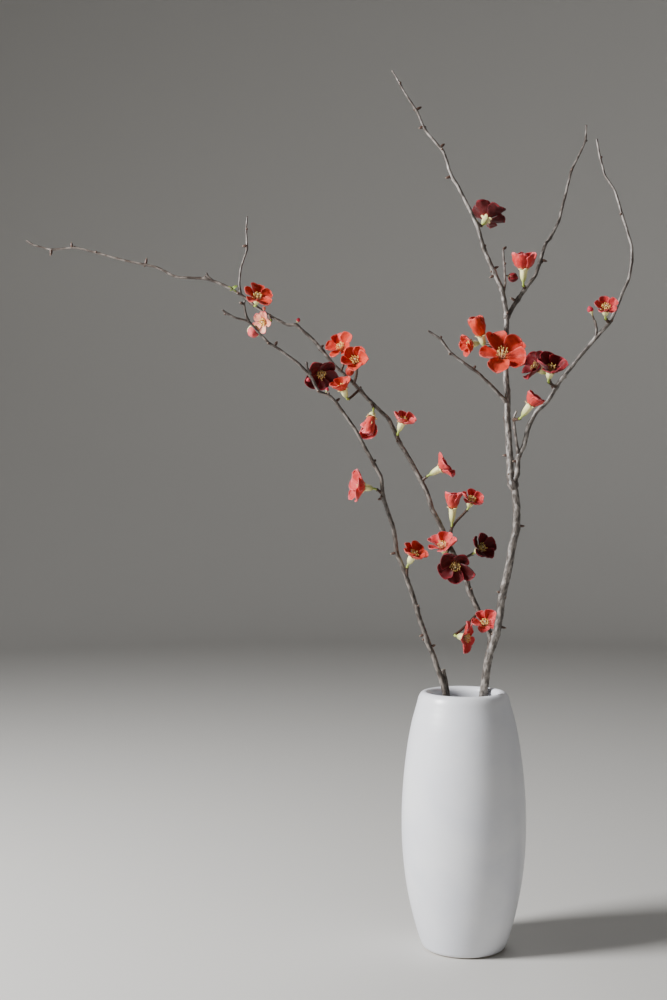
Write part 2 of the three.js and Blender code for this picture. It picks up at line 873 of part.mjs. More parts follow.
// A ball of five folded petals on a short stalk.
function closedBud(flower, lines, { onAxis, side, other, face }) {
  const size = flower.size;
  const folds = BUD_FOLDS.map(({ along, wide }) => {
    const ridge = { radius: wide * size, height: along * size };
    return starRing(onAxis, side, other, ridge, { ...ridge, radius: BUD_GROOVE * ridge.radius });
  });
  const path = [{ at: onAxis(0), radius: BUD_SEAT * size }];
  const rings = [...stalkRings(flower, lines, path, side, face), ...folds];
  return closedSkin(rings, null, onAxis(BUD_LENGTH * size));
}

// The axes of a flower: its face, the first petal's direction and the one across it.
function axesOf({ cup, face, roll }) {
  const foot = placed(cup);
  const forward = new THREE.Vector3(...face).normalize();
  const level = Math.abs(forward.z) > STEEP ? FRONT : UP;
  const side = level.clone().addScaledVector(forward, -level.dot(forward)).normalize();
  side.applyAxisAngle(forward, roll * DEGREE);
  const onAxis = (height) => foot.clone().addScaledVector(forward, height);
  return { onAxis, side, other: forward.clone().cross(side), face: forward };
}

const arrangement = new THREE.Group();
arrangement.name = "ikebana_arrangement";

const branches = {
  low: { name: "branch_low", ...LOW_BRANCH },
  high: { name: "branch_high", ...HIGH_BRANCH },
  tall: { name: "branch_tall", ...TALL_BRANCH },
};
for (const branch of Object.values(branches)) {
  branch.lines = linesOf(branch);
  branch.room = branchSolid(branch.lines, GAP);
  const buds = branch.buds.map((point) => bud(branch.lines, point));
  const wood = buds.reduce((whole, one) => whole.add(one), branchSolid(branch.lines));
  arrangement.add(meshOf(branch.name, geometryOf(wood), "bark"));
}

const vaseProfile = [[0, 0], ...VASE_OUTSIDE, ...VASE_LIP, ...VASE_INSIDE, [0, FLOOR_TOP]];
arrangement.add(meshOf("vase", geometryOf(revolved(vaseProfile, VASE_SIDES)), "porcelain"));

// The water follows the inside of the vase up to its level, which lies between two profile points.
const under = VASE_INSIDE.findIndex(([, height]) => height < WATER_LEVEL);
const [[highRadius, high], [lowRadius, low]] = VASE_INSIDE.slice(under - 1);
const levelRadius = lowRadius + ((highRadius - lowRadius) * (WATER_LEVEL - low)) / (high - low);
const wetted = VASE_INSIDE.slice(under).reverse().map(([radius, height]) => [radius - GAP, height + GAP]);
const waterProfile = [[0, FLOOR_TOP + GAP], ...wetted, [levelRadius - GAP, WATER_LEVEL], [0, WATER_LEVEL]];
let water = revolved(waterProfile, VASE_SIDES);
for (const { room } of Object.values(branches)) water = water.subtract(room);
arrangement.add(meshOf("water", geometryOf(water), "water"));

const random = dice(4335);

function addBloom(flower, name) {
  const branch = branches[flower.branch];
  const axes = axesOf({ roll: Math.round(FIFTH * random()), ...flower });
  const petals = meshOf(`${name}_petals`, geometryOf(corolla(flower, random)), flower.tone);
  petals.position.copy(axes.onAxis(0));
  petals.quaternion.setFromRotationMatrix(new THREE.Matrix4().makeBasis(axes.side, axes.other, axes.face));
  const stand = calyx(flower, branch.lines, axes, random).subtract(branch.room);
  arrangement.add(petals, meshOf(`${name}_calyx`, geometryOf(stand), "calyx"));
}

const twoDigits = (i) => String(i + 1).padStart(2, "0");
LEFT_BLOOMS.forEach((flower, i) => addBloom(flower, `left_bloom_${twoDigits(i)}`));
RIGHT_BLOOMS.forEach((flower, i) => addBloom(flower, `right_bloom_${twoDigits(i)}`));
for (const flower of CLOSED_BUDS) {
  const branch = branches[flower.branch];
  const ball = closedBud(flower, branch.lines, axesOf({ roll: 0, ...flower })).subtract(branch.room);
  arrangement.add(meshOf(flower.name, geometryOf(ball), flower.tone));
}

export default arrangement;
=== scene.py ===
"""Branches of flowering quince standing in a tall white porcelain vase."""

from collections import namedtuple
from math import cos, exp, pi, radians, sin, sqrt

import bpy
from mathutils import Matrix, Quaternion, Vector, noise


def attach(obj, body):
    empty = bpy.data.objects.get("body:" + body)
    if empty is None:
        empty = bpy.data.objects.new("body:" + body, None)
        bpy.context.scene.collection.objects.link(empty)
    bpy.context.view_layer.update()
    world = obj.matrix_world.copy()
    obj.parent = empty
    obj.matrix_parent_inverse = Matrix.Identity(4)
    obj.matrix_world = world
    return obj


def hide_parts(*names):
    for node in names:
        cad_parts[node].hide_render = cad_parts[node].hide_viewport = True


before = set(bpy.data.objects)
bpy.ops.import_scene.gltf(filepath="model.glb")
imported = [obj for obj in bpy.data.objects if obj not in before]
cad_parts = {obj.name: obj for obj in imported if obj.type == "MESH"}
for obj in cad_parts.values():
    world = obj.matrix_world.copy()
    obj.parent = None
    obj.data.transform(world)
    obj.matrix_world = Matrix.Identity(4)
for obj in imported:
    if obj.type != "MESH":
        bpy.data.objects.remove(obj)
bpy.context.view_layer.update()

MM = 0.001  # sizes below are in millimetres, and the scene is in metres
FIFTH = 2 * pi / 5

# Camera. Routes are read on the plane through the vase's axis as the eye sees them.

EYE = {"across": -112.5, "up": 385.5, "distance": 1178}
FRAME_HEIGHT = 864.4  # how much of that plane the upright picture takes in
SENSOR = 36
NEAREST = 10  # the camera sees nothing closer

# Vase: a profile of (radius, height), up the outside, over the lip and down the hollow

VASE_FLOOR = 8
VASE_WALL = [
    (31, 0), (34.8, 1.2), (37.2, 5.5), (43, 24), (48.6, 49), (52.2, 76), (53.6, 106),
    (52.6, 136), (49.6, 166), (45.4, 191), (40.6, 209), (38.2, 217), (35, 220), (31.6, 219.4),
    (30, 216), (32.4, 208), (39.4, 189), (45.4, 159), (48.3, 118), (47, 76), (42, 43),
    (35, 18), (28.5, VASE_FLOOR),
]
FOOT_RECESS = [(0, 1.6), (26.5, 1.4), (28.2, 0)]
VASE_SIDES = 144
PROFILE_STEPS = 5  # smooth steps between two profile points

# Branches. A limb is its radius at the foot and the tip, and its route; the first limb of a branch is its
# stem. A route point is (across, up, away, swell): away is how far the point lies behind the plane, and
# swell thickens a node.

Branch = namedtuple("Branch", "wood in_vase limbs buds")

BRANCHES = {
    "low": Branch("bark", [(22, -9, 9.3), (-17, -21, 219)], [
        ((3.1, 0.9), [
            (-20, 233, -22), (-25, 248, -24), (-32, 265, -26, 1.2), (-37, 280, -28), (-41, 293, -30, 1.2),
            (-47, 312, -32), (-52, 326, -34, 1.15), (-58, 340, -35), (-60, 359, -37), (-65, 374, -38),
            (-70, 388, -40, 1.25), (-71, 405, -41), (-78, 418, -42, 1.15), (-85, 430, -43),
            (-92, 444, -45), (-101, 457, -46), (-111, 471, -48), (-117, 476, -49, 1.2),
            (-125.5, 479, -50, 1.1), (-132, 492, -51), (-142, 503, -53), (-158, 515, -54),
            (-168, 521, -56, 1.2), (-177, 530, -57), (-186, 540, -58, 1.3), (-197, 543, -59),
            (-205, 547, -60, 1.3), (-209, 550, -61),
        ]),
        ((2.4, 2.1), [(-13, 205, -20), (-14.5, 222, -19), (-18, 239, -17)]),
        ((0.9, 0.7), [(-186, 540, -58), (-188, 545, -59), (-190, 555, -60, 1.2), (-189, 558.5, -60)]),
        ((0.9, 0.8), [(-133, 495, -51), (-135.5, 500, -52), (-136, 505, -52, 1.3)]),
    ], [
        (-38.5, 291.5, -30), (-37.5, 268, -27), (-25, 260, -26), (-62.5, 339, -36), (-73.5, 386, -39),
        (-107.5, 473, -46), (-118, 481, -49), (-134, 489.5, -51), (-161.5, 522, -54), (-193, 556, -61),
    ]),
    "high": Branch("bark", [(-3, 5, 8.7), (20.6, 16.9, 219)], [
        ((3.2, 0.8), [
            (20.5, 237, 18), (22.5, 251, 20, 1.15), (23, 270, 22), (18, 281, 23), (11.5, 292, 25),
            (5, 307, 28, 1.25), (2, 319, 30), (-5.5, 333, 32), (-12, 346, 33), (-20, 364, 35),
            (-27, 377, 36), (-32, 393, 38), (-38, 405, 39, 1.2), (-47, 421, 41), (-56, 436, 43, 1.2),
            (-60, 446, 44), (-65, 456, 45), (-79, 469, 46), (-90, 481, 47, 1.2), (-101, 492, 48),
            (-113, 503, 49), (-123, 516, 50, 1.15), (-132, 526, 51), (-145, 537, 53, 1.2),
            (-153, 537, 53), (-168, 545, 54), (-181, 554, 55), (-194, 564, 56, 1.3), (-211, 573, 57),
            (-223, 577, 58, 1.2), (-248, 578, 59), (-266, 587, 61), (-275, 589, 61, 1.25),
            (-291, 592, 62), (-317, 599, 64, 1.25), (-336, 604, 65, 1.2), (-356, 601.5, 66, 1.3),
            (-372, 606, 67), (-378, 610, 68),
        ]),
        ((1.1, 0.7), [
            (-193, 563.5, 56), (-194, 574, 58), (-192.5, 587, 60), (-187, 603, 62, 1.3),
            (-188, 619, 64, 1.2), (-187, 631, 65),
        ]),
        ((0.9, 0.8), [(-217, 575, 57.5), (-221, 579, 57), (-222.5, 582, 57, 1.2)]),
    ], [
        (-339, 607.5, 65), (-274, 594, 61), (-143, 541, 52), (-121.5, 519, 50), (-199, 569, 55),
        (-357, 597.5, 66), (4.5, 320, 29), (-98, 488, 47), (-190.5, 605, 62),
    ]),
    # the tall branch wears the lighter copy of the bark, painted as lit
    "tall": Branch("lit_bark", [(-18, 16, 9.6), (14.4, -21.6, 219)], [
        ((3.8, 3), [
            (19, 234, -23), (22, 252, -26), (28, 268, -28, 1.1), (31, 284, -30), (33, 301, -32, 1.1),
            (38, 322, -35), (43, 350, -38), (46, 361, -39, 1.1), (46, 382, -41), (43, 400, -42, 1.1),
        ]),
        ((3, 0.8), [
            (43, 398, -42), (40.5, 407, -41, 1.15), (40, 420, -40, 1.1), (39, 440, -39),
            (37.5, 456, -38, 1.1), (38, 478, -37), (36, 497, -35), (37, 529, -33), (37, 546, -32, 1.1),
            (34, 564, -31), (32, 570, -30, 1.15), (26, 583, -29, 1.15), (20, 596, -28),
            (17, 604, -27, 1.15), (12, 622, -26), (5.5, 636, -24), (-5, 657, -22), (-10, 664, -21, 1.15),
            (-18, 688, -18, 1.2), (-30, 701, -16), (-34, 707, -15, 1.2), (-41, 723, -14, 1.15),
            (-48, 733, -13), (-55, 745, -12, 1.2), (-62, 757, -10),
        ]),
        ((1.9, 0.8), [
            (37, 543, -32), (43, 553, -28), (47, 559, -25, 1.25), (53, 568, -22, 1.15), (62, 579, -18),
            (66, 591, -13, 1.2), (71, 608, -7), (75, 612, -5, 1.15), (83, 628, 1), (88, 650, 7),
            (93, 670, 13, 1.2), (101.5, 687, 18), (105.5, 696, 20, 1.15), (106, 710, 23),
        ]),
        ((2.2, 0.8), [
            (43, 399, -42), (46.5, 408, -43, 1.1), (47, 423, -45, 1.1), (52, 432, -46),
            (56, 449, -48, 1.1), (63, 462, -51), (72, 470, -53), (80, 483, -56, 1.15),
            (86, 492, -57, 1.1), (101, 510, -60), (115, 527, -63, 1.2), (122, 534, -64),
            (127, 540, -64, 1.15), (136, 561, -66), (143, 577, -66), (145.5, 593, -65, 1.15),
            (145, 606, -64), (137, 632, -60, 1.15), (131, 653, -56), (122, 666, -53),
            (118, 681, -51, 1.15), (115, 698, -49),
        ]),
        ((1.3, 0.9), [
            (47.5, 425, -45), (46, 434, -48), (44, 447, -51, 1.15), (43.5, 457, -53), (46, 463, -54),
        ]),
        ((1.6, 0.9), [
            (37.5, 470, -37.5), (27, 481, -42), (13, 495, -48), (6, 500, -50, 1.2), (-11, 512, -54, 1.2),
            (-20, 525, -56, 1.2), (-31, 532, -58),
        ]),
        ((1.1, 0.8), [(34, 562, -31), (36, 574, -22), (35, 589, -14, 1.15), (34, 602, -8)]),
        ((1, 0.9), [(114.5, 526.5, -63), (115, 534, -64), (113, 541, -65, 1.15)]),
    ], [
        (29.5, 306, -33), (36, 275, -29), (52, 363, -40), (34.5, 424, -39), (23, 578, -29),
        (29.5, 587, -28), (-15, 664, -21), (-17, 693, -17), (-38, 707, -15), (-37, 725, -13),
        (71.5, 592, -13), (43, 419, -45), (36.5, 604, -7), (41, 560, -25), (10, 501, -50),
    ]),
}

# Flowers. Each states its branch, its tone, the length of its petals or the radius of a closed bud, how far
# the petals lean out at their foot and tip in degrees, where its stalk leaves the wood, where its cup is and
# where it faces, and some the length of the bell, the turn of the petals and stops on the stalk's way.

Flower = namedtuple("Flower", "branch tone size spread root cup face bell roll via", defaults=(7, None, ()))

BLOOMS = {
    "left": [
        Flower("high", "vermilion", 12.5, (60, 78), (-184, 556, 55), (-178.5, 560, 42), (0.2, -0.72, 0.66)),
        Flower("high", "pink", 8.5, (58, 72), (-168, 545, 54), (-172.5, 539.5, 41), (-0.6, -0.78, -0.15)),
        Flower("high", "vermilion", 12.5, (56, 70), (-106, 497, 48), (-105, 517, 43), (-0.5, -0.75, 0.42)),
        Flower(
            "high", "vermilion", 12.5, (48, 52), (-95, 486, 47), (-93.5, 505, 26), (-0.12, -0.86, 0.4),
            via=((-92.5, 493, 38),),
        ),
        Flower("high", "maroon", 15, (56, 64), (-112.5, 503, 49), (-124, 495.5, 44), (0.24, -0.84, -0.46)),
        Flower(
            "high", "vermilion", 10.5, (40, 44), (-90, 481, 47), (-104, 481, 33.5), (-0.34, -0.42, 0.83),
            bell=8,
        ),
        Flower(
            "high", "coral", 20, (20, 2), (-79, 469, 46), (-79.5, 457.5, 39), (-0.24, -0.4, -0.88),
            bell=5,
        ),
        Flower("high", "coral", 11, (52, 62), (-57, 438, 43), (-53, 452.5, 30), (0.33, -0.45, 0.83), bell=9),
        Flower(
            "high", "coral", 12, (52, 60), (-36, 402, 39), (-20.5, 412.5, 33), (0.84, -0.22, 0.5),
            bell=10,
        ),
        Flower(
            "low", "coral", 13.5, (50, 54), (-71, 391, -40), (-86, 396.5, -43), (-0.93, -0.3, 0.12),
            bell=7.5,
        ),
        Flower(
            "high", "coral", 14.5, (26, 18), (-12, 346, 33), (-9.5, 378.5, 26), (0.02, -0.22, 0.97),
            bell=13,
        ),
        Flower(
            "low", "vermilion", 11.5, (52, 60), (-49, 318, -33), (-44, 337, -43), (0.38, -0.5, 0.78),
            bell=8.5,
        ),
        Flower("high", "coral", 13, (58, 68), (-12, 346, 33), (-17.5, 344.5, 23), (-0.25, -0.5, 0.83)),
        Flower("high", "maroon", 12.5, (56, 66), (-4, 333, 32), (14, 343, 14), (0.5, -0.75, 0.42)),
        Flower("high", "maroon", 16.5, (56, 64), (-1, 324, 30.5), (-6, 331, 8), (-0.24, -0.84, -0.48)),
        Flower("high", "coral", 11, (58, 72), (18, 281, 23), (18.5, 278.5, 9), (-0.1, -0.78, 0.62)),
        Flower(
            "high", "coral", 12.5, (66, 84), (13.5, 289, 24.5), (0, 267, -8), (0.9, -0.42, -0.1), bell=6,
            via=((6, 281, 16), (-2.5, 272.5, 3)),
        ),
        Flower(
            "high", "coral", 10, (56, 66), (-13, 349, 33.5), (6.5, 384.5, 37), (0.25, -0.6, 0.76),
            via=((-10.5, 363, 42),),
        ),
    ],
    "right": [
        Flower("tall", "maroon", 15.5, (60, 72), (9, 628, -25), (19.5, 628.5, -9), (0.45, 0.45, 0.77)),
        Flower(
            "tall", "coral", 17, (60, -4), (53, 568, -22), (52, 584.5, -30), (0.02, -0.12, 0.99), bell=10,
        ),
        Flower(
            "tall", "vermilion", 17, (34, -12), (37, 520, -34), (15, 527.5, -41), (-0.3, -0.25, 0.92),
            bell=8.5, via=((24, 518, -40),),
        ),
        Flower(
            "tall", "vermilion", 9.5, (44, 44), (37, 521, -34), (7, 520, -21), (-0.88, -0.4, -0.2),
            via=((25, 520, -24),),
        ),
        Flower(
            "tall", "vermilion", 18.5, (64, 90), (36, 505, -35), (33, 509.5, -54), (0, -0.83, 0.56),
            roll=18,
        ),
        Flower(
            "tall", "crimson", 13.5, (54, 64), (79, 480, -55), (65, 499, -42), (-0.8, -0.35, 0.48),
            via=((74, 490, -45),),
        ),
        Flower("tall", "crimson", 14.5, (48, 54), (80, 483, -56), (75, 496.5, -70), (0.1, -0.6, 0.79)),
        Flower(
            "tall", "coral", 11, (38, 30), (44.5, 455, -53), (57.5, 467.5, -66), (0.55, -0.3, 0.78),
            bell=11,
        ),
        Flower("tall", "coral", 9.5, (54, 62), (126, 538.5, -64), (123, 550.5, -76), (-0.1, -0.75, 0.65)),
    ],
}

CLOSED_BUDS = {
    "bud_low_left": Flower(
        "low", "salmon", 5.2, None, (-182, 535, -58), (-181, 533, -49.5), (-0.1, -0.82, -0.56),
    ),
}

# Small things that grow on the branches: flower buds as (branch, place, radius, tone), and one leafy shoot

SMALL_BUDS = [
    ("low", (-134, 489.5, -51), 1.8, "rose"), ("low", (-118, 481, -49), 1.7, "rose"),
    ("low", (-136, 505, -52), 1.1, "rose"), ("high", (-143, 541, 52), 1.9, "rose"),
    ("high", (-172.5, 551, 52), 1.8, "pink"), ("high", (4.5, 320, 29), 1.2, "crimson"),
    ("high", (-98.5, 496.5, 41), 4.2, "vermilion"),
    ("tall", (42.5, 578, -16), 4.4, "crimson"), ("tall", (109.5, 550, -66), 2.7, "rose"),
]
LEAF_SHOOT = ("high", (-198.5, 570, 54))

# Petal colours by tone: claw, face, warm patches, painted highlight along the rim, and back

PETAL_TONES = {
    "vermilion": ("dc5a22", "c02814", "da4826", "ea625a", "b8342a"),
    "coral": ("dc6a40", "c22c2c", "de564c", "ee7078", "bc3a42"),
    "salmon": ("e2a05a", "dc5a52", "f0a28e", "e23a5c", "d8484e"),
    # crimson and maroon are the red darkened with painted shade, for the flowers that stand in shade
    "crimson": ("8e2414", "620a12", "7e1a1c", "bc3644", "70121c"),
    "maroon": ("6e1c12", "440408", "590a0c", "8e1f2c", "540a12"),
    "rose": ("c8604a", "b02c40", "d25a62", "d8264c", "b8283c"),
    "pink": ("e8a23c", "f3a98c", "f9d8b6", "dc3a58", "e0605c"),
}
SHARED_SLOTS = {"coral": "vermilion", "salmon": "pink"}  # tones that only the fine petals tell apart
BUD_LOOKS = ["petals_pink", "calyx", "petals_crimson", "petals_rose", "petals_vermilion"]

# Petals, in millimetres, degrees and shares. A pair is a middle value and how far it varies.

SHORTEST, LONGEST = 0.88, 1.08  # a petal's length over the one that its flower states
PETAL_LEANS = 16  # how many degrees the petals of one flower differ by
CLAW_RADIUS = 2.9  # where the petals spring from the rim of the bell
PETAL_WIDTH = 0.5  # half width over length
PETAL_UNEVEN = 0.10  # how much the width wanders
PETAL_WIDEST = 0.62  # where along its length a petal is widest
PETAL_RISE, PETAL_FALL = 1.25, 2.3  # powers of its outline below that place and above it
CLAW_SHARE = 0.24  # width of the claw over the widest
PETAL_SHEET, SEPAL_SHEET, SCALE_SHEET, LEAF_SHEET = 0.3, 0.45, 0.25, 0.3  # thicknesses
PETAL_ROWS, PETAL_COLUMNS = 18, 8  # rows along, columns from the middle to one edge
PETAL_TWIST = (0.15, 0.07)  # how far each petal turns, so that one side lies over its neighbour
PETAL_CURL = (-10, 26)  # how many degrees the tip bends out by
PETAL_ROLL = (0.12, 0.3)  # how far one edge curls up
PETAL_DISH = (0.462, 0.147)
HIGHLIGHT_FROM = 0.55  # where along the petal the painted highlight on its rim starts

# Relief of a petal: height over its length, waves across and along, how far the seed is scaled, and whether
# it is only along the rim
PETAL_WAVES = [
    (0.075, 2.1, 2.6, 1, False), (0.028, 5.67, 7.02, 2.7, False),
    (0.09, 3.4, 3.4, 2, True), (0.035, 8, 8, 3, True),
]

# Stalks, bells and sepals

STALK = 0.95
STALK_BEND = 0.5  # how much of each straight stretch of a stalk is rounded at a corner
STALK_STEP = 0.6
STRAIGHT = 3.2  # how much of the stalk lies on the flower's axis
GREEN_STALK = 3.5  # how much of the stalk under the bell is green, and the rest is a woody spur
GREEN_FADE = 2.5
SPUR_RINGS = 2.6  # distance between the ring scars on a spur
BUD_SCALES = 5  # brown scales round the foot of a stalk
SCALE_LENGTH = (2.1, 0.5)
SCALE_HALF = 0.75
SCALE_ROWS = 5
SCALE_BOW = -0.3  # the edges of a scale clasp the stalk
SPUR_WOOD, SPUR_SCAR = 0.2, 0.22  # how much thicker the spur is, and its scars
STALK_FLARE, FLARE_LENGTH = 0.6, 1.8  # how much a stalk thickens where it leaves the wood
BELL_OUTLINE = [  # height over the bell's length, radius, tone; a tone over 1 is the hollow throat, which is painted in shade
    (-1.04, 0.9, 0.2), (-1, 1.2, 0.25), (-0.9, 1.75, 0.3), (-0.75, 2.35, 0.4), (-0.55, 2.8, 0.5),
    (-0.35, 3.0, 0.6), (-0.15, 3.15, 0.75), (-0.04, 3.3, 0.9), (0.0, 3.15, 1.0), (-0.04, 2.85, 1.1),
    (-0.2, 2.5, 1.3), (-0.4, 2.1, 1.5), (-0.52, 1.3, 1.6),
]
BELL_SIDES = 30
BELL_RIB = 0.035
SEPAL = 3.0
SEPAL_HALF = 1.85
SEPAL_FOOT = (2.7, -0.75)
SEPAL_LEAN = (48, 8)
SEPAL_BEND = 26
SEPAL_BOW = 0.3
SEPAL_ROWS, SEPAL_COLUMNS = 7, 7

# Stamens and styles

STAMENS = 22
STAMEN_TURN = 2.399963  # radians from one stamen to the next
TURN_VARIES, SPLAY_VARIES = 0.2, 0.35
STAMEN_LENGTH = (0.89, 0.15)
STAMEN_STEP = 1.6
ANTHER_HALF = (0.6, 0.05)  # half its length
# Rows of an anther: place over half its length, radius
ANTHER = [(-1, 0.1), (-0.8, 0.3), (-0.35, 0.42), (0.35, 0.42), (0.8, 0.3), (1, 0.1)]
FILAMENT = (0.17, 0.05)  # radius at the foot, and how much of it is lost by the tip
STYLE_HEIGHTS = (0.2, 0.45, 0.7)  # over the tuft's height
STYLE_TIP = [(0.66, 0), (0.78, 0.25), (0.88, 0.7)]  # height over the tuft's, how far out

# Closed buds and leaves

BALL_ROWS, BALL_SIDES = 12, 40
BALL_HEIGHT = 2.05  # over the radius
BALL_TIP = 0.03  # over the radius
BALL_SPIRAL = 1.1  # how far the folded petals wind up the ball
BALL_STEP = (0.92, 0.08)
CUP_OUTLINE = [  # height and radius over the bud's, tone
    (-0.3, 0.35, 0.3), (-0.1, 0.62, 0.4), (0.15, 0.85, 0.55),
    (0.45, 1.0, 0.75), (0.7, 1.03, 0.95), (0.72, 0.9, 1),
]
CUP_LOBE = 0.22
BUD_STALK = 0.6
LEAF_TURN = 2.4  # radians from one leaf or bud to the next
LEAVES = [(18, 6.5), (38, 5.6), (52, 4.8), (30, 4.2), (62, 3.6)]  # lean in degrees, length
LEAF_ROWS = 10
LEAF_BEND = 35
LEAF_WIDTH = 0.24  # half width over length

# Wood

BARK_STEP = 1.2
BARK_RELIEF = [(0.13, 420), (0.07, 1300)]  # depth over the radius, waves in a metre
WANDER, WANDER_WAVES = 0.3, 95
BEND = 0.2  # how much of each straight stretch is rounded at a corner
TIP_ROOM = 0.95  # how far short of its end a limb stops, over its radius, for the bud that closes it
STOUT = 2.5  # a limb thicker than this at its foot has more sides
STOUT_SIDES, THIN_SIDES = 16, 12
KNOT, KNOT_SWELL = 2.6, 1.15  # length and strength of the swelling at a node
COLLAR_FROM, COLLAR, COLLAR_SWELL = 2, 2.2, 0.55  # the thickening where a twig leaves its stem
CUT = (0.86, 0.06)  # rim over the radius, and how far the cut face stands proud
DOME = [(0.86, 0.45), (0.5, 0.8)]  # radius and height over the radius
STUB_BELOW = 210  # a twig whose foot is lower is a cut stub in the mouth
BUDS_ABOVE = 225  # nodes that are lower have no bud
WINTER_BUD = [(0, 1.0), (0.2, 1.2), (0.42, 1.3), (0.6, 1.2), (0.78, 0.95), (0.92, 0.55), (1, 0.14)]
WINTER_BUD_SIDES = 12
BUD_STEPS, BUD_SPIRAL = 3, 1.4  # scales round a winter bud, and how far they wind up it
BUD_STEP = (0.94, 0.14)  # radius at a scale's low edge, and how far the other edge stands out
LISTED_BUD, NODE_BUD = 0.95, 0.85  # radius of the buds that a branch lists, and of those at its nodes
NODE_BUD_TIP = (0.9, 1.5)  # how far its tip is out of the wood and along it
BUD_ROOM = 2.5  # a winter bud closer than this to a flower bud isn't made

# Studio

FLOOR_RADIUS = 2500
SWEEP = 1200  # radius of the curve between floor and wall
WALL_HEIGHT = 3400
FLOOR_SIDES = 96
SWEEP_STEPS = 20
LAMPS = [  # name, place and aim in metres, size in metres, power
    ("key", (-1.45, -0.45, 1.05), (0, 0, 0.35), 0.5, 68),
    ("fill", (1.3, -1.5, 0.7), (0, 0, 0.35), 1.4, 0.8),
    ("back", (0.4, 0.8, 1.7), (0, 0, 0.4), 0.9, 5),
]
SKY, SKY_STRENGTH = (0.9, 0.93, 1.0, 1), 0.06


def dice(seed):
    """Repeatable numbers from 0 to 1."""
    state = seed
    while True:
        state = (state * 1664525 + 1013904223) % 4294967296
        yield state / 4294967296


draw = dice(4335)  # the solids' own draws, in their order
more = dice(81)  # draws for what only the fine pieces have
noise.seed_set(81)  # noise vectors start from this seed, and otherwise from the clock


def around(middle=0.0, spread=1.0):
    """A draw between `spread` under and `spread` over `middle`."""
    return middle + spread * (2 * next(more) - 1)


def placed(point):
    """A route point in the frame of the part, in metres."""
    across, up, away = point[:3]
    reach = away / EYE["distance"]
    return MM * Vector((across + (across - EYE["across"]) * reach, away, up + (up - EYE["up"]) * reach))


def toward(angle, side, other):
    """The direction at an angle from `side` to `other`."""
    return cos(angle) * side + sin(angle) * other


def axes_along(start, along, side=None):
    """The points of an axis by height, two directions across it, and its own."""
    if side is None:
        side = along.orthogonal().normalized()
    return lambda height: start + height * MM * along, side, along.cross(side), along


def linked(name, data):
    """A new object in the scene."""
    made = bpy.data.objects.new(name, data)
    bpy.context.scene.collection.objects.link(made)
    return made


class Skin:
    """Gathers vertices with their values, and faces with their material, and makes one object of them."""

    def __init__(self, *values):
        self.points = []
        self.values = {name: [] for name in values}
        self.faces = []
        self.looks = []

    def add(self, point, **values):
        """Adds a vertex, and gives its number."""
        self.points.append(point)
        for name, kept in self.values.items():
            kept.append(values.get(name, (0, 0, 0)))
        return len(self.points) - 1

    def face(self, corners, look=0):
        """Adds a face, unless too few of its corners differ."""
        corners = list(dict.fromkeys(corners))
        if len(corners) > 2:
            self.faces.append(corners)
            self.looks.append(look)

    def loft(self, rings, look=0, first=True, last=True):
        """Joins rings of vertex numbers, and closes each end. A ring may be a single vertex."""
        for low, high in zip(rings, rings[1:]):
            count = max(len(low), len(high))
            for j in range(count):
                k = (j + 1) % count
                corners = (low[j % len(low)], low[k % len(low)], high[k % len(high)], high[j % len(high)])
                self.face(corners, look)
        if first:
            self.face(rings[0][::-1], look)
        if last:
            self.face(rings[-1], look)

    def shaped(self, name, looks):
        """The object that has been gathered."""
        mesh = bpy.data.meshes.new(name)
        mesh.from_pydata(self.points, [], self.faces)
        for look in looks:
            mesh.materials.append(look)
        mesh.polygons.foreach_set("material_index", self.looks)
        mesh.shade_smooth()
        for value, kept in self.values.items():
            layer = mesh.attributes.new(value, "FLOAT_VECTOR", "POINT")
            layer.data.foreach_set("vector", [number for vector in kept for number in vector])
        return linked(name, mesh)

    def piece(self, name, slot, node, *looks):
        """A piece of the part, which stands for a node of the frame."""
        made = self.shaped(name, looks)
        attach(made, "root")
        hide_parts(node)


def middle_of(points):
    """The middle of some points."""
    return sum(points, Vector()) / len(points)


def ring(centre, side, other, radius, count):
    """Points of a circle, with the angle of each."""
    angles = [2 * pi * j / count for j in range(count)]
    return [(centre + radius * toward(angle, side, other), angle) for angle in angles]


def turned_frames(points):
    """A direction, and two across it that turn as little as they can, for each point of a line."""
    steps = [(b - a).normalized() for a, b in zip(points, points[1:])]
    headings = [steps[0]] + [(a + b).normalized() for a, b in zip(steps, steps[1:])] + [steps[-1]]
    side = headings[0].orthogonal().normalized()
    frames = []
    before = headings[0]
    for heading in headings:
        side = before.rotation_difference(heading) @ side
        side = (side - side.dot(heading) * heading).normalized()
        frames.append((heading, side, heading.cross(side)))
        before = heading
    return frames


def rounded(points, corner, steps=5):
    """A line of points with its corners rounded."""
    line = [points[0]]
    for before, here, after in zip(points, points[1:], points[2:]):
        start = here.lerp(before, corner)
        end = here.lerp(after, corner)
        for i in range(steps + 1):
            t = i / steps
            line.append(start.lerp(here, t).lerp(here.lerp(end, t), t))
    return line + [points[-1]]


def runs_of(points):
    """How far along a line each of its points is."""
    runs = [0.0]
    for a, b in zip(points, points[1:]):
        runs.append(runs[-1] + (b - a).length)
    return runs


def resampled(points, step, fewest=3):
    """Points every `step` or so along a line."""
    runs = runs_of(points)
    count = max(fewest, round(runs[-1] / step))
    line = []
    i = 0
    for n in range(count + 1):
        run = runs[-1] * n / count
        while i < len(points) - 2 and runs[i + 1] < run:
            i += 1
        share = (run - runs[i]) / max(runs[i + 1] - runs[i], 1e-9)
        line.append(points[i].lerp(points[i + 1], min(max(share, 0), 1)))
    return line


def tube(skin, points, radius_at, sides, cup_at=lambda share: (share, 0, 0), look=0):
    """A round tube along points, whose radius and value are functions of the share of its length."""
    rings = []
    for i, (point, (_, side, other)) in enumerate(zip(points, turned_frames(points))):
        share = i / (len(points) - 1)
        places = ring(point, side, other, radius_at(share) * MM, sides)
        rings.append([skin.add(place, cup=cup_at(share)) for place, _ in places])
    skin.loft(rings, look)


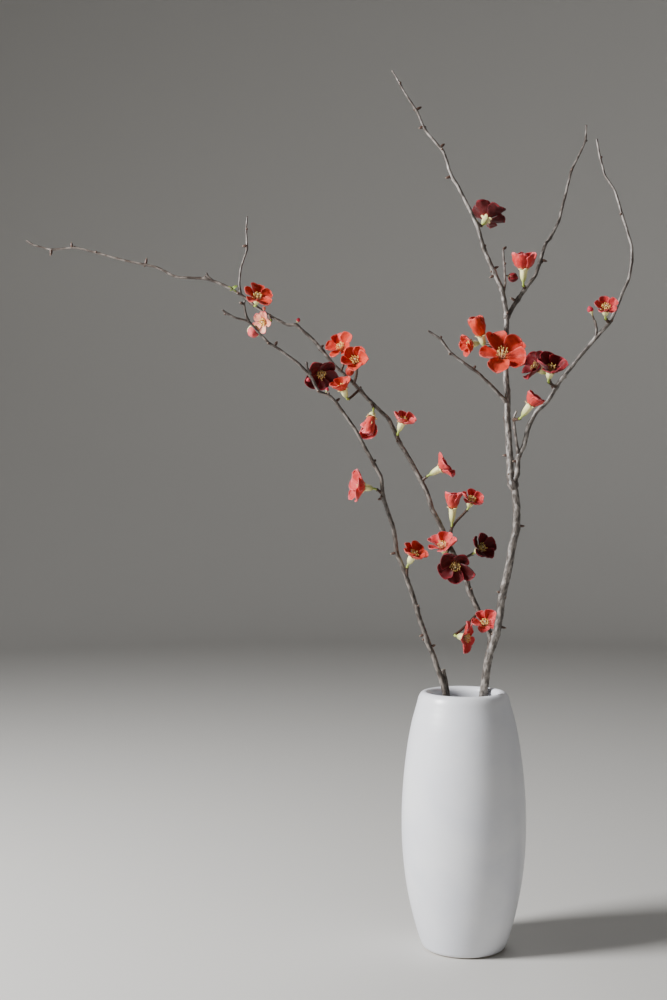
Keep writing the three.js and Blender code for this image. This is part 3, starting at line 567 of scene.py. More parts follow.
def lathe(skin, axes, rows, sides, corner=lambda value, angle: (1, 0, {}), look=0, first=True):
    """Rings round an axis, from rows of (height, radius, value).

    corner(value, angle) gives how far a corner stands out, over the radius, how far ahead, and its values.
    """
    on_axis, side, other, face = axes
    rings = []
    for height, radius, value in rows:
        centre = on_axis(height)
        corners = []
        for place, angle in ring(centre, side, other, radius * MM, sides if radius else 1):
            out, ahead, values = corner(value, angle)
            corners.append(skin.add(centre + (place - centre) * out + ahead * MM * face, **values))
        rings.append(corners)
    skin.loft(rings, look, first)


def across_blade(centre, half, aside, bow, columns, power=2):
    """A row of points across a narrow blade, `half` to each side, whose edges stand off along `bow`."""
    overs = [2 * j / (columns - 1) - 1 for j in range(columns)]
    return [centre + half * MM * (over * aside + abs(over) ** power * bow) for over in overs]


def sheet(skin, grid, thickness, values):
    """A thin closed blade over a grid of points, sharp at its edge. values(i, j, upper) gives a corner's."""
    rows, columns = len(grid), len(grid[0])
    upper, lower = [], []
    for i, row in enumerate(grid):
        upper.append([])
        lower.append([])
        for j, here in enumerate(row):
            up = grid[min(i + 1, rows - 1)][j] - grid[max(i - 1, 0)][j]
            over = row[min(j + 1, columns - 1)] - row[max(j - 1, 0)]
            edge = i in (0, rows - 1) or j in (0, columns - 1)
            rise = Vector() if edge else over.cross(up).normalized() * thickness * MM / 2
            top = skin.add(here + rise, **values(i, j, 1))
            upper[i].append(top)
            lower[i].append(top if edge else skin.add(here - rise, **values(i, j, 0)))
    for i in range(rows - 1):
        for j in range(columns - 1):
            skin.face((upper[i][j], upper[i][j + 1], upper[i + 1][j + 1], upper[i + 1][j]))
            skin.face((lower[i][j], lower[i + 1][j], lower[i + 1][j + 1], lower[i][j + 1]))


def rising(start, length, rows, lean_at):
    """Up a blade from its foot: the share of its length, its angle to the axis, its radius and its height.

    lean_at(share) gives the angle in degrees.
    """
    (radius, height), before = start, 0.0
    for i in range(rows + 1):
        share = sin(pi / 2 * i / rows)
        angle = radians(lean_at(share))
        radius += (share - before) * length * sin(angle)
        height += (share - before) * length * cos(angle)
        before = share
        yield share, angle, radius, height


# Wood

Line = namedtuple("Line", "points swells thick twig")


def lines_of(branch):
    """The stem from its foot in the vase to its tip, then the twigs."""
    lines = []
    for i, (thick, route) in enumerate(branch.limbs):
        foot = [] if i else [MM * Vector(p) for p in branch.in_vase]
        swells = [1] * len(foot) + [p[3] if len(p) > 3 else 1 for p in route]
        lines.append(Line(foot + [placed(p) for p in route], swells, thick, i > 0))
    return lines


def nearest_on(lines, point):
    """The nearest point on the branch's lines."""
    best = None
    for line in lines:
        for a, b in zip(line.points, line.points[1:]):
            share = (point - a).dot(b - a) / (b - a).length_squared
            spot = a.lerp(b, min(max(share, 0), 1))
            if best is None or (spot - point).length < (best - point).length:
                best = spot
    return best


def close_limb(skin, corners, outward, fresh):
    """Closes the end of a limb with a pale cut, or with a low dome."""
    middle = middle_of([skin.points[corner] for corner in corners])
    reach = (skin.points[corners[0]] - middle).length
    steps = [(CUT[0], CUT[1] * MM)] if fresh else [(share, ahead * reach) for share, ahead in DOME]
    wood = (2, 1, 0) if fresh else (1, 0, 0.2)
    rings = [corners]
    for share, ahead in steps:
        inner = []
        for corner in corners:
            spot = middle.lerp(skin.points[corner], share) + ahead * outward
            inner.append(skin.add(spot, grain=skin.values["grain"][corner], wood=wood))
        rings.append(inner)
    skin.loft(rings, first=False)


def limb(skin, line, fresh_foot, fresh_tip):
    """A stem or twig with knots at its nodes, an uneven bark, and a cut or a dome at each end."""
    first, last = line.thick
    points = resampled(rounded(line.points, BEND), BARK_STEP * MM)
    if not fresh_tip:
        points[-1] = points[-1].lerp(points[-2], TIP_ROOM * last / BARK_STEP)
    runs, stops = runs_of(points), runs_of(line.points)
    stretch = runs[-1] / stops[-1]
    knots = [(stop * stretch, swell - 1) for stop, swell in zip(stops, line.swells) if swell > 1]
    sides = STOUT_SIDES if first > STOUT else THIN_SIDES
    frames = turned_frames(points)
    rings = []
    for i, (point, run, (_, side, other)) in enumerate(zip(points, runs, frames)):
        radius = first + (last - first) * run / runs[-1]
        swell = 1 + sum(KNOT_SWELL * rise * exp(-(((run - at) / (KNOT * MM)) ** 2)) for at, rise in knots)
        if line.twig:
            swell += COLLAR_SWELL * exp(-max(run - COLLAR_FROM * MM, 0) / (COLLAR * MM))
        centre = point
        if 0 < i < len(points) - 1:
            centre = point + WANDER * MM * noise.noise_vector(point * WANDER_WAVES)
        corners = []
        for place, angle in ring(centre, side, other, radius * swell * MM, sides):
            rough = 1 + sum(depth * noise.noise(place * waves) for depth, waves in BARK_RELIEF)
            grain = (radius * cos(angle), radius * sin(angle), run / MM)
            wood = (radius, 0, swell - 1)
            corners.append(skin.add(centre + (place - centre) * rough, grain=grain, wood=wood))
        rings.append(corners)
    skin.loft(rings, first=False, last=False)
    close_limb(skin, rings[0][::-1], -frames[0][0], fresh_foot)
    close_limb(skin, rings[-1], frames[-1][0], fresh_tip)


def scaly_bud(skin, root, tip, width):
    """A small winter bud of three or four scales, which stands on the wood."""
    turn = 2 * pi * next(more)

    def corner(share, angle):
        step = (BUD_STEPS * angle / (2 * pi) + BUD_SPIRAL * share + turn) % 1
        return BUD_STEP[0] + BUD_STEP[1] * step, 0, {"wood": (share, 0, 0)}

    length = (tip - root).length / MM
    rows = [(share * length, width * wide, share) for share, wide in WINTER_BUD]
    lathe(skin, axes_along(root, (tip - root).normalized()), rows, WINTER_BUD_SIDES, corner)


def node_buds(line):
    """The nodes of a line that have a bud: the point, its heading and the wood's radius."""
    route = line.points
    for i in range(1, len(route) - 1):
        if line.swells[i] > 1 and route[i].z > BUDS_ABOVE * MM:
            heading = (route[i + 1] - route[i - 1]).normalized()
            share = i / (len(route) - 1)
            yield route[i], heading, line.thick[0] * (1 - share) + line.thick[1] * share


def wood_pieces(name, branch, looks):
    """The bark of a branch, and its winter buds. Gives the branch's lines."""
    lines = lines_of(branch)
    bark = Skin("grain", "wood")
    for line in lines:
        in_mouth = line.twig and line.points[0].z < STUB_BELOW * MM
        limb(bark, line, fresh_foot=not line.twig or in_mouth, fresh_tip=in_mouth)
    bark.piece(f"{name}_bark", "bark", name, looks[branch.wood])
    buds = Skin("wood")
    taken = [placed(tip) for _, tip, _, _ in SMALL_BUDS] + [placed(LEAF_SHOOT[1])]
    for tip in map(placed, branch.buds):
        if min((tip - other).length for other in taken) > BUD_ROOM * MM:
            root = nearest_on(lines, tip)
            scaly_bud(buds, root, tip + (tip - root).normalized() * MM, LISTED_BUD)
    nodes = [node for line in lines for node in node_buds(line)]
    for n, (node, heading, radius) in enumerate(nodes, 1):
        side = heading.orthogonal().normalized()
        out = toward(LEAF_TURN * n, side, heading.cross(side))
        tip = node + ((radius + NODE_BUD_TIP[0]) * out + NODE_BUD_TIP[1] * heading) * MM
        scaly_bud(buds, node + 0.5 * radius * MM * out, tip, NODE_BUD)
    buds.piece(f"{name}_winter_buds", "bark", name, looks["bud_scale"])
    return lines


# Flowers

def petal_slot(tone):
    """The record's slot for petals of a tone."""
    return f"petals_{SHARED_SLOTS.get(tone, tone)}"


def petal_half(share):
    """Half the width of a petal over its widest, at a share of its length."""
    if share < PETAL_WIDEST:
        rise = sin(pi / 2 * share / PETAL_WIDEST) ** PETAL_RISE
        return CLAW_SHARE + (1 - CLAW_SHARE) * rise
    fall = (share - PETAL_WIDEST) / (1 - PETAL_WIDEST)
    return sqrt(max(0.0, 1 - fall**PETAL_FALL))


def relief(over, share, seed):
    """How far the folds and the ruffled rim of a petal stand off its blade, over its length."""
    margin = max(abs(over), 1.15 * share - 0.15) ** 5
    total = 0.0
    for height, across, along, shift, at_rim in PETAL_WAVES:
        wave = noise.noise(Vector((across * over, along * share, 0)) + shift * seed)
        total += height * wave * (margin if at_rim else 1)
    return min(1, 2.5 * share) * total


def petal(skin, axes, turn, length, spread, lean, tint):
    """One cupped petal with a narrow claw and a wavy rim."""
    on_axis, side, other, face = axes
    out = toward(turn, side, other)
    aside = face.cross(out)
    phase = next(more)
    twist, curl, roll, dish = (around(*pair) for pair in (PETAL_TWIST, PETAL_CURL, PETAL_ROLL, PETAL_DISH))
    seed = Vector((17 * next(more), 9 * next(more), 0))

    def lean_at(share):
        return spread[0] + (spread[1] - spread[0] + lean) * share + curl * share**3

    grid, shares = [], []
    for share, angle, radius, height in rising((CLAW_RADIUS, 0), length, PETAL_ROWS, lean_at):
        uneven = 1 + PETAL_UNEVEN * noise.noise(Vector((4 * share, 0, 0)) + seed)
        half = petal_half(share) * PETAL_WIDTH * length * uneven
        upright = max(0.0, cos(angle))
        bend = max(upright, 0.02) / radius  # a petal that stands up wraps round the flower's axis
        row = []
        for j in range(-PETAL_COLUMNS, PETAL_COLUMNS + 1):
            over = sin(pi / 2 * j / PETAL_COLUMNS)
            wrap = bend * half * over
            hollow = dish * (1 - 0.75 * upright) * abs(over) ** 1.8
            lift = half * (hollow + twist * over + roll * max(0, over) ** 6)
            lift += (1 - cos(wrap)) / bend + length * relief(over, share, seed)
            spot = on_axis(height + lift * sin(angle)) + (radius - lift * cos(angle)) * MM * out
            row.append(spot + sin(wrap) / bend * MM * aside)
        grid.append(row)
        shares.append(share)
    grid[-1] = [middle_of(grid[-1])] * len(grid[-1])

    def values(i, j, upper):
        over = j / PETAL_COLUMNS - 1
        # the mask of the painted highlight along the petal's edges and tip
        rim_highlight = max(abs(over), (shares[i] - HIGHLIGHT_FROM) / (1 - HIGHLIGHT_FROM)) ** 3
        return {"blade": (shares[i], over, rim_highlight), "leaf": (upper, tint, phase)}

    sheet(skin, grid, PETAL_SHEET, values)


def axes_of(flower, roll):
    """The flower's axis from the rim of its cup, the first petal's direction, and the one across it."""
    forward = Vector(flower.face).normalized()
    level = Vector((0, -1, 0)) if abs(forward.z) > 0.9 else Vector((0, 0, 1))
    side = (level - level.dot(forward) * forward).normalized()
    side = Quaternion(forward, radians(roll if flower.roll is None else flower.roll)) @ side
    return axes_along(placed(flower.cup), forward, side)


def stalk_line(flower, lines, ending):
    """The stalk's points from the wood to the foot of the bell."""
    stops = [nearest_on(lines, placed(flower.root))] + [placed(p) for p in flower.via] + ending
    return resampled(rounded(stops, STALK_BEND, 8), STALK_STEP * MM)


def bud_scales(skin, stalk, share):
    """The brown scales of the old bud, which stay round the foot of a flower stalk."""
    i = min(max(round(share * (len(stalk) - 1)), 0), len(stalk) - 2)
    heading, side, other = turned_frames(stalk)[i]
    for k in range(BUD_SCALES):
        out = toward(FIFTH * k + 0.4, side, other)
        length = around(*SCALE_LENGTH)
        grid = []
        for row in range(SCALE_ROWS + 1):
            along = row / SCALE_ROWS
            centre = stalk[i] + ((0.9 + 0.75 * along) * out + (along * length - 0.6) * heading) * MM
            half = SCALE_HALF * sqrt(max(0.0, 1 - along**2.2))
            grid.append(across_blade(centre, half, heading.cross(out), SCALE_BOW * out, 5))
        sheet(skin, grid, SCALE_SHEET, lambda row, j, upper: {"cup": (0.1, 0, -0.8)})


def sepal(skin, axes, turn):
    """One lobe of the bell, which lies under the petals."""
    on_axis, side, other, face = axes
    out = toward(turn, side, other)
    lean = around(*SEPAL_LEAN)
    lean_at = lambda share: lean + SEPAL_BEND * share
    grid, shares = [], []
    for share, angle, radius, height in rising(SEPAL_FOOT, SEPAL, SEPAL_ROWS, lean_at):
        half = SEPAL_HALF * sqrt(max(0.0, 1 - share**2.6))
        centre = on_axis(height) + radius * MM * out
        bow = SEPAL_BOW * (sin(angle) * face - cos(angle) * out)
        grid.append(across_blade(centre, half, face.cross(out), bow, SEPAL_COLUMNS))
        shares.append(share)
    sheet(skin, grid, SEPAL_SHEET, lambda i, j, upper: {"cup": (0.8 + 0.15 * shares[i], 1, shares[i])})


def bell_piece(name, flower, axes, lines, looks):
    """The stalk, the bell with its hollow throat, and five sepals."""
    on_axis = axes[0]
    bell = flower.bell
    skin = Skin("cup")
    stalk = stalk_line(flower, lines, [on_axis(-bell - STRAIGHT), on_axis(-bell)])
    length = runs_of(stalk)[-1] / MM

    def woody(share):
        """How woody the stalk is: its last few millimetres are green."""
        return min(max((1 - share) * length - GREEN_STALK, 0) / GREEN_FADE, 1)

    def thickness(share):
        """The spur has ring scars, and thickens where it leaves the branch."""
        scar = max(0.0, cos(2 * pi * share * length / SPUR_RINGS)) ** 4
        flare = STALK_FLARE * exp(-share * length / FLARE_LENGTH)
        return STALK + woody(share) * (SPUR_WOOD + SPUR_SCAR * scar) + flare

    def corner(tone, angle):
        rib = BELL_RIB * cos(5 * angle) if tone < 1 else 0
        return 1 + rib, 0, {"cup": (tone, 0, 0)}

    tube(skin, stalk, thickness, 14, lambda share: (0.25 * share, 0, -woody(share)))
    bud_scales(skin, stalk, 1 - min(GREEN_STALK + 1.5, 0.8 * length) / length)
    rows = [(height * bell, radius, tone) for height, radius, tone in BELL_OUTLINE]
    lathe(skin, axes, rows, BELL_SIDES, corner)
    for k in range(5):
        sepal(skin, axes, FIFTH * (k + 0.5))
    skin.piece(f"{name}_bell", "calyx", f"{name}_calyx", looks["calyx"])


def stamens_piece(name, axes, reach, looks):
    """A tuft of stamens round five joined styles."""
    on_axis, side, other, _ = axes
    skin = Skin("cup")
    for n in range(STAMENS):
        out = toward(around(STAMEN_TURN * n, TURN_VARIES), side, other)
        inner = n / STAMENS  # the later ones stand nearer the middle, and straighter
        length = reach * around(*STAMEN_LENGTH)
        splay = (0.34 - 0.22 * inner) * length
        foot = on_axis(-0.5) + (2.3 - 0.9 * inner) * MM * out
        end = on_axis(length - 0.6) + around(2.2 - 0.9 * inner + splay, SPLAY_VARIES) * MM * out
        bow = on_axis(0.5 * length) + (2.5 - 0.8 * inner + 0.65 * splay) * MM * out
        stem = [foot.lerp(bow, t).lerp(bow.lerp(end, t), t) for t in (0, 0.25, 0.5, 0.75, 1)]
        tube(skin, resampled(stem, STAMEN_STEP * MM), lambda share: FILAMENT[0] - FILAMENT[1] * share, 5)
        along = (Vector((around(), around(), around())) + 1.2 * (end - bow).normalized()).normalized()
        half = around(*ANTHER_HALF)
        pod = [end + along * half * MM * place for place, _ in ANTHER]
        width = lambda share: ANTHER[round(5 * share)][1]
        tube(skin, pod, width, 8, lambda share: (share, 1, next(more)), 1)
    style = [on_axis(-1.5)] + [on_axis(share * reach) for share in STYLE_HEIGHTS]
    tube(skin, style, lambda share: 0.5 - 0.2 * share, 8)
    for k in range(5):
        out = toward(FIFTH * k, side, other)
        line = [on_axis(share * reach) + away * MM * out for share, away in STYLE_TIP]
        tube(skin, line, lambda share: 0.18 + 0.1 * share, 6, lambda share: (share, 0.4, 0))
    skin.piece(f"{name}_stamens", "calyx", f"{name}_calyx", looks["filament"], looks["anther"])


def bloom(name, flower, lines, looks):
    """A whole flower, with the solids' own draws for its petals."""
    axes = axes_of(flower, round(72 * next(draw)))
    skin = Skin("blade", "leaf")
    for k in range(5):
        length = flower.size * (SHORTEST + (LONGEST - SHORTEST) * next(draw))
        lean = PETAL_LEANS * (next(draw) - 0.5)
        petal(skin, axes, FIFTH * k, length, flower.spread, lean, next(more))
    petals_look = looks[f"petals_{flower.tone}"]
    skin.piece(f"{name}_corolla", petal_slot(flower.tone), f"{name}_petals", petals_look)
    reaches = [flower.size * (0.4 + 0.12 * next(draw)) for _ in range(5)]
    bell_piece(name, flower, axes, lines, looks)
    stamens_piece(name, axes, sum(reaches) / 5, looks)


def folded_ball(skin, axes, size, look):
    """Petals folded round each other in a ball, as the closed bud has them."""
    turn = next(more)

    def corner(share, angle):
        fold = (5 * angle / (2 * pi) + BALL_SPIRAL * share + turn) % 1
        # the third blade value puts the petals' painted rim highlight on the edge of each fold
        values = {"blade": (0.35 + 0.6 * share, fold - 0.5, fold**2), "leaf": (0, 0.3, turn)}
        return BALL_STEP[0] + BALL_STEP[1] * fold, 0, values

    rows = []
    for i in range(BALL_ROWS):
        share = i / BALL_ROWS
        belly = 0.98 * sin(pi * (0.1 + 0.9 * share) ** 0.92) ** 0.75
        rows.append((BALL_HEIGHT * size * share, belly * size, share))
    rows.append((BALL_HEIGHT * size, BALL_TIP * size, 1.0))
    lathe(skin, axes, rows, BALL_SIDES, corner, look)


def closed_bud(name, flower, lines, looks):
    """A closed flower bud in its green cup, on a short stalk."""
    axes = axes_of(flower, 0)
    on_axis = axes[0]
    size = flower.size
    skin = Skin("blade", "leaf", "cup")
    folded_ball(skin, axes, size, 0)
    stalk = stalk_line(flower, lines, [on_axis(-0.5 * size), on_axis(0.1 * size)])
    thick = min(STALK, 0.4 * size)
    tube(skin, stalk, lambda share: thick, 10, lambda share: (0.2 * share, 0, 0), 1)

    def corner(value, angle):
        height, tone = value
        return 1, CUP_LOBE * size * cos(5 * angle) * max(0, height), {"cup": (tone, 0, 0)}

    rows = [(height * size, radius * size, (height, tone)) for height, radius, tone in CUP_OUTLINE]
    lathe(skin, axes, rows, BELL_SIDES, corner, 1)
    petals_look = looks[f"petals_{flower.tone}"]
    skin.piece(f"{name}_folded", petal_slot(flower.tone), name, petals_look, looks["calyx"])


def small_bud(skin, lines, tip, size, tone):
    """A little flower bud on its spur."""
    top = placed(tip)
    root = nearest_on(lines, top)
    along = (top - root).normalized()
    start = top - 0.85 * size * MM * along
    folded_ball(skin, axes_along(start, along), size, BUD_LOOKS.index(f"petals_{tone}"))
    stalk = resampled([root, start + 0.3 * size * MM * along], 0.8 * MM)

    def thickness(share):
        """The stalk widens into the cup that holds the petals."""
        return BUD_STALK + (0.75 * size - BUD_STALK) * max(0, 3 * share - 2) ** 1.5

    def tint(share):
        """Big buds have a woody foot."""
        return 0.2 + 0.6 * share, 0, share - 1 if size > 1.8 else -0.2

    tube(skin, stalk, thickness, 14, tint, BUD_LOOKS.index("calyx"))


def small_growths(branch_lines, looks):
    """The little flower buds on their spurs, and the leafy shoot, which are part of the branches."""
    for name, lines in branch_lines.items():
        skin = Skin("blade", "leaf", "cup")
        for branch, tip, size, tone in SMALL_BUDS:
            if branch == name:
                small_bud(skin, lines, tip, size, tone)
        shown = [looks[look] for look in BUD_LOOKS]
        skin.piece(f"{name}_flower_buds", "petals_pink", f"branch_{name}", *shown)

    branch, tip = LEAF_SHOOT
    root = nearest_on(branch_lines[branch], placed(tip))
    along = (placed(tip) - root).normalized()
    skin = Skin("blade")
    for k, (lean, length) in enumerate(LEAVES):
        side = Quaternion(along, LEAF_TURN * k) @ along.orthogonal().normalized()
        grid = []
        for i in range(LEAF_ROWS + 1):
            share = i / LEAF_ROWS
            angle = radians(lean + LEAF_BEND * share)
            centre = root + share * length * MM * toward(angle, along, side)
            half = LEAF_WIDTH * length * sin(pi * min(1, 0.06 + 0.94 * share)) ** 0.8
            rise = cos(angle) * side - sin(angle) * along
            grid.append(across_blade(centre, half, along.cross(side), -0.6 * rise, 5, 1))

        def values(i, j, upper):
            return {"blade": (i / LEAF_ROWS, abs(j / 2 - 1), 0)}

        sheet(skin, grid, LEAF_SHEET, values)
    skin.piece(f"{branch}_leaf_shoot", "calyx", f"branch_{branch}", looks["leaf"])


# Vase and floor

def smooth_profile(points, steps):
    """A smooth curve through the profile's points, which keeps to them at its ends."""
    curve = []
    for i in range(len(points) - 1):
        before = Vector(points[max(i - 1, 0)])
        a, b = Vector(points[i]), Vector(points[i + 1])
        after = Vector(points[min(i + 2, len(points) - 1)])
        span = (b - a).length
        leave = (b - before).normalized() * span
        arrive = (after - a).normalized() * span
        for n in range(steps):
            t = n / steps
            curve.append(
                (2 * t**3 - 3 * t**2 + 1) * a + (t**3 - 2 * t**2 + t) * leave
                + (3 * t**2 - 2 * t**3) * b + (t**3 - t**2) * arrive
            )
    return curve + [Vector(points[-1])]


def turned(profile, sides):
    """A skin turned round the upright axis from a profile of (radius, height)."""
    skin = Skin()
    axes = axes_along(Vector(), Vector((0, 0, 1)), Vector((1, 0, 0)))
    lathe(skin, axes, [(height, radius, None) for radius, height in profile], sides, first=False)
    return skin


def vase_piece(looks):
    """The vase, with its foot ring, its lip and its hollow."""
    profile = FOOT_RECESS + smooth_profile(VASE_WALL, PROFILE_STEPS) + [(0, VASE_FLOOR)]
    turned(profile, VASE_SIDES).piece("porcelain_vase", "porcelain", "vase", looks["porcelain"])


def backdrop(look):
    """A round pale floor that sweeps up into a low wall on all sides, so that every view has it behind."""
    profile = [(FLOOR_RADIUS + SWEEP, WALL_HEIGHT)]
    for i in range(SWEEP_STEPS, 0, -1):
        angle = pi / 2 * i / SWEEP_STEPS
        profile.append((FLOOR_RADIUS + SWEEP * sin(angle), SWEEP * (1 - cos(angle))))
    profile += [(FLOOR_RADIUS, 0), (0, 0)]
    sweep = turned(profile, FLOOR_SIDES).shaped("pale_sweep", [look])


# Materials

def rgb(code, shade=1.0):
    """A colour from its usual hexadecimal form, darkened by `shade`."""
    parts = [int(code[i : i + 2], 16) / 255 for i in (0, 2, 4)]
    return (*(shade * (c / 12.92 if c <= 0.04045 else ((c + 0.055) / 1.055) ** 2.4) for c in parts), 1)


class Shader:
    """A node material round one Principled shader, whose colour and relief are laid on in layers.

    Keyword values are set on the shader's own sockets. A colour may be a hexadecimal code or a socket.
    """

    def __init__(self, name, colour, **settings):
        self.material = bpy.data.materials.new(name)
        self.material.use_nodes = True
        self.tree = self.material.node_tree
        self.surface = self.tree.nodes["Principled BSDF"]
        self.surface.inputs["Base Color"].default_value = rgb(colour)
        for socket, value in settings.items():
            self.surface.inputs[socket.replace("_", " ")].default_value = value
        self.colour = colour
        self.normal = None

    def node(self, kind, inputs=None, **settings):
        """A new node, with its inputs linked or set."""
        made = self.tree.nodes.new("ShaderNode" + kind)
        for name, value in settings.items():
            setattr(made, name, value)
        for socket, value in (inputs or {}).items():
            if isinstance(value, bpy.types.NodeSocket):
                self.tree.links.new(value, made.inputs[socket])
            else:
                made.inputs[socket].default_value = rgb(value) if isinstance(value, str) else value
        return made

    def attribute(self, name):
        """The three numbers of a vertex value, and the value as one vector."""
        vector = self.node("Attribute", attribute_name=name).outputs["Vector"]
        return [*self.node("SeparateXYZ", {0: vector}).outputs, vector]

    def place(self):
        """The place on the object."""
        return self.node("TexCoord").outputs["Object"]

    def scaled(self, vector, scale):
        """A vector stretched by the three numbers of a scale."""
        return self.node("Mapping", {"Vector": vector, "Scale": scale}).outputs[0]

    def noise(self, vector, scale, detail=3.0, rough=0.5):
        """Soft noise from 0 to 1."""
        inputs = {"Vector": vector, "Scale": scale, "Detail": detail, "Roughness": rough}
        return self.node("TexNoise", inputs).outputs["Fac"]

    def spots(self, vector, scale):
        """Distance to the nearest of scattered points."""
        return self.node("TexVoronoi", {"Vector": vector, "Scale": scale}).outputs["Distance"]

    def math(self, operation, a, b=0.0):
        """The result of a sum on two numbers."""
        return self.node("Math", {0: a, 1: b}, operation=operation).outputs[0]

    def span(self, value, low, high, to_low=0.0, to_high=1.0):
        """Maps a range of value to another, and holds it there."""
        inputs = {"Value": value, "From Min": low, "From Max": high, "To Min": to_low, "To Max": to_high}
        return self.node("MapRange", inputs, interpolation_type="SMOOTHSTEP").outputs[0]

    def mix(self, share, a, b):
        """A colour between two."""
        return self.node("Mix", {0: share, 6: a, 7: b}, data_type="RGBA").outputs[2]

    def cover(self, colour, share):
        """Lays a colour over what is there, as much as share says."""
        self.colour = self.mix(share, self.colour, colour)

    def wash(self, colour, value, low, high, most=1.0):
        """Lays a colour over what is there, none where value is low and `most` where it is high."""
        self.cover(colour, self.span(value, low, high, 0.0, most))

    def bump(self, height, strength, distance):
        """Adds relief of a height in millimetres to what is there."""
        inputs = {"Height": height, "Strength": strength, "Distance": distance * MM}
        if self.normal is not None:
            inputs["Normal"] = self.normal
        self.normal = self.node("Bump", inputs).outputs[0]

    def finish(self, roughness=None):
        """Links the layers to the shader, and gives the material."""
        for socket, value in (("Base Color", self.colour), ("Roughness", roughness), ("Normal", self.normal)):
            if isinstance(value, bpy.types.NodeSocket):
                self.tree.links.new(value, self.surface.inputs[socket])
        return self.material


def porcelain():
    """A white glaze with faint rings and a few pits, which leaves the foot bare."""
    shade = Shader(
        "white_porcelain", "e4e6ed", Coat_Weight=0.25, Coat_Roughness=0.22, Specular_IOR_Level=0.45
    )
    place = shade.place()
    fine = shade.noise(place, 260)
    height = shade.node("SeparateXYZ", {0: place}).outputs[2]
    bare = shade.span(height, 0.0016, 0.0008)
    specks = shade.spots(place, 130)
    waves = {"Vector": place, "Scale": 55.0, "Distortion": 1.5, "Detail": 2.0, "Detail Scale": 0.6}
    rings = shade.node("TexWave", waves, bands_direction="Z").outputs["Fac"]
    shade.wash("eeeff3", shade.noise(place, 22, 4), 0.3, 0.7)
    shade.wash("d3d6de", height, 0.03, 0.0, 0.35)
    shade.cover("d8cbb8", bare)
    shade.wash("a49a8c", specks, 0.045, 0.0, 0.3)
    shade.bump(rings, 0.12, 0.25)
    shade.bump(fine, 0.10, 0.12)
    shade.bump(shade.span(specks, 0.0, 0.06), 0.25, 0.08)
    glazed = shade.span(fine, 0.2, 0.8, 0.30, 0.42)
    return shade.finish(shade.math("ADD", glazed, shade.math("MULTIPLY", bare, 0.45)))


def bark(name, dark, light, silver):
    """Bark streaked from dark to light along the wood, with silvery patches, pale pores and fresh cuts."""
    shade = Shader(name, dark, Specular_IOR_Level=0.5, Coat_Weight=0.2, Coat_Roughness=0.35)
    thick, fresh, knot, _ = shade.attribute("wood")
    grain = shade.attribute("grain")[3]
    along = shade.scaled(grain, (1, 1, 0.16))
    streaks = shade.noise(along, 1.1, 5, 0.6)
    patches = shade.noise(shade.scaled(grain, (1, 1, 0.5)), 0.32)
    spots = shade.span(shade.spots(shade.scaled(grain, (0.8, 0.8, 0.9)), 0.62), 0.24, 0.08)
    pores = shade.math("MULTIPLY", spots, shade.span(shade.noise(grain, 0.55, 2), 0.45, 0.62))
    shade.wash(light, streaks, 0.32, 0.68)
    shade.wash("4a332a", thick, 1.8, 0.8, 0.3)
    shade.wash(silver, patches, 0.42, 0.66, 0.75)
    shade.cover("a3937f", shade.math("MULTIPLY", pores, 0.6))
    shade.wash("3a302b", knot, 0.05, 0.3, 0.45)
    shade.cover(shade.mix(shade.span(shade.noise(grain, 1.5), 0.3, 0.7), "c9b184", "e2d2ab"), fresh)
    shade.bump(shade.noise(along, 2.6, 4, 0.65), 0.55, 0.35)
    shade.bump(pores, 0.5, 0.22)
    return shade.finish(shade.span(streaks, 0.3, 0.7, 0.33, 0.55))


def petals(name, claw, face, warm, rim_highlight, back):
    """Silky petals: veined, paler at the claw, with a painted highlight along the rim."""
    shade = Shader(
        name, face, Specular_IOR_Level=0.22, Sheen_Weight=0.15, Sheen_Roughness=0.4,
        Subsurface_Weight=0.22, Subsurface_Radius=(1.0, 0.35, 0.2), Subsurface_Scale=1.2 * MM,
    )
    along, across, edge, _ = shade.attribute("blade")
    upper, tint, seed, _ = shade.attribute("leaf")
    cloud = shade.noise(shade.place(), 170)
    fan = {0: shade.math("MULTIPLY", across, 5.5), 1: shade.math("MULTIPLY", along, 1.3), 2: seed}
    veins = shade.noise(shade.node("CombineXYZ", fan).outputs[0], 3.2, 4, 0.6)
    shade.wash(warm, tint, 0.35, 1.0, 0.8)
    shade.wash(warm, cloud, 0.35, 0.7, 0.35)
    shade.wash(rgb(face, 0.5), veins, 0.48, 0.6, 0.34)
    shade.wash(claw, along, 0.3, 0.02, 0.85)
    shade.wash(back, upper, 1.0, 0.0, 0.4)
    # painted highlight: a lighter colour along the rim and tip
    shade.wash(rim_highlight, edge, 0.25, 0.95, 0.85)
    shade.bump(veins, 0.45, 0.3)
    shade.bump(cloud, 0.3, 0.3)
    return shade.finish(shade.span(cloud, 0.3, 0.7, 0.48, 0.64))


def calyx():
    """Pale green, with blushed sepals, painted shade in the throat, and brown where the stalk is a woody
    spur.
    """
    shade = Shader(
        "green_bell", "8fa43c", Specular_IOR_Level=0.4,
        Subsurface_Weight=0.15, Subsurface_Radius=(0.8, 0.9, 0.3), Subsurface_Scale=MM,
    )
    tone, sepal_face, tip, _ = shade.attribute("cup")
    mottle = shade.noise(shade.place(), 420)
    shade.wash("f6efad", tone, 0.1, 0.7)
    shade.wash("cdd47c", mottle, 0.45, 0.75, 0.35)
    shade.wash(shade.mix(mottle, "2c1f19", "5f4638"), tip, 0.0, -0.6)
    # painted shade: dark red down the hollow throat, where the tone is over 1
    shade.wash("8a2410", tone, 1.0, 1.35)
    shade.cover("c9665a", shade.math("MULTIPLY", sepal_face, shade.span(tip, 0.45, 1.0, 0.0, 0.5)))
    shade.bump(mottle, 0.3, 0.2)
    return shade.finish(shade.span(mottle, 0.3, 0.7, 0.38, 0.55))


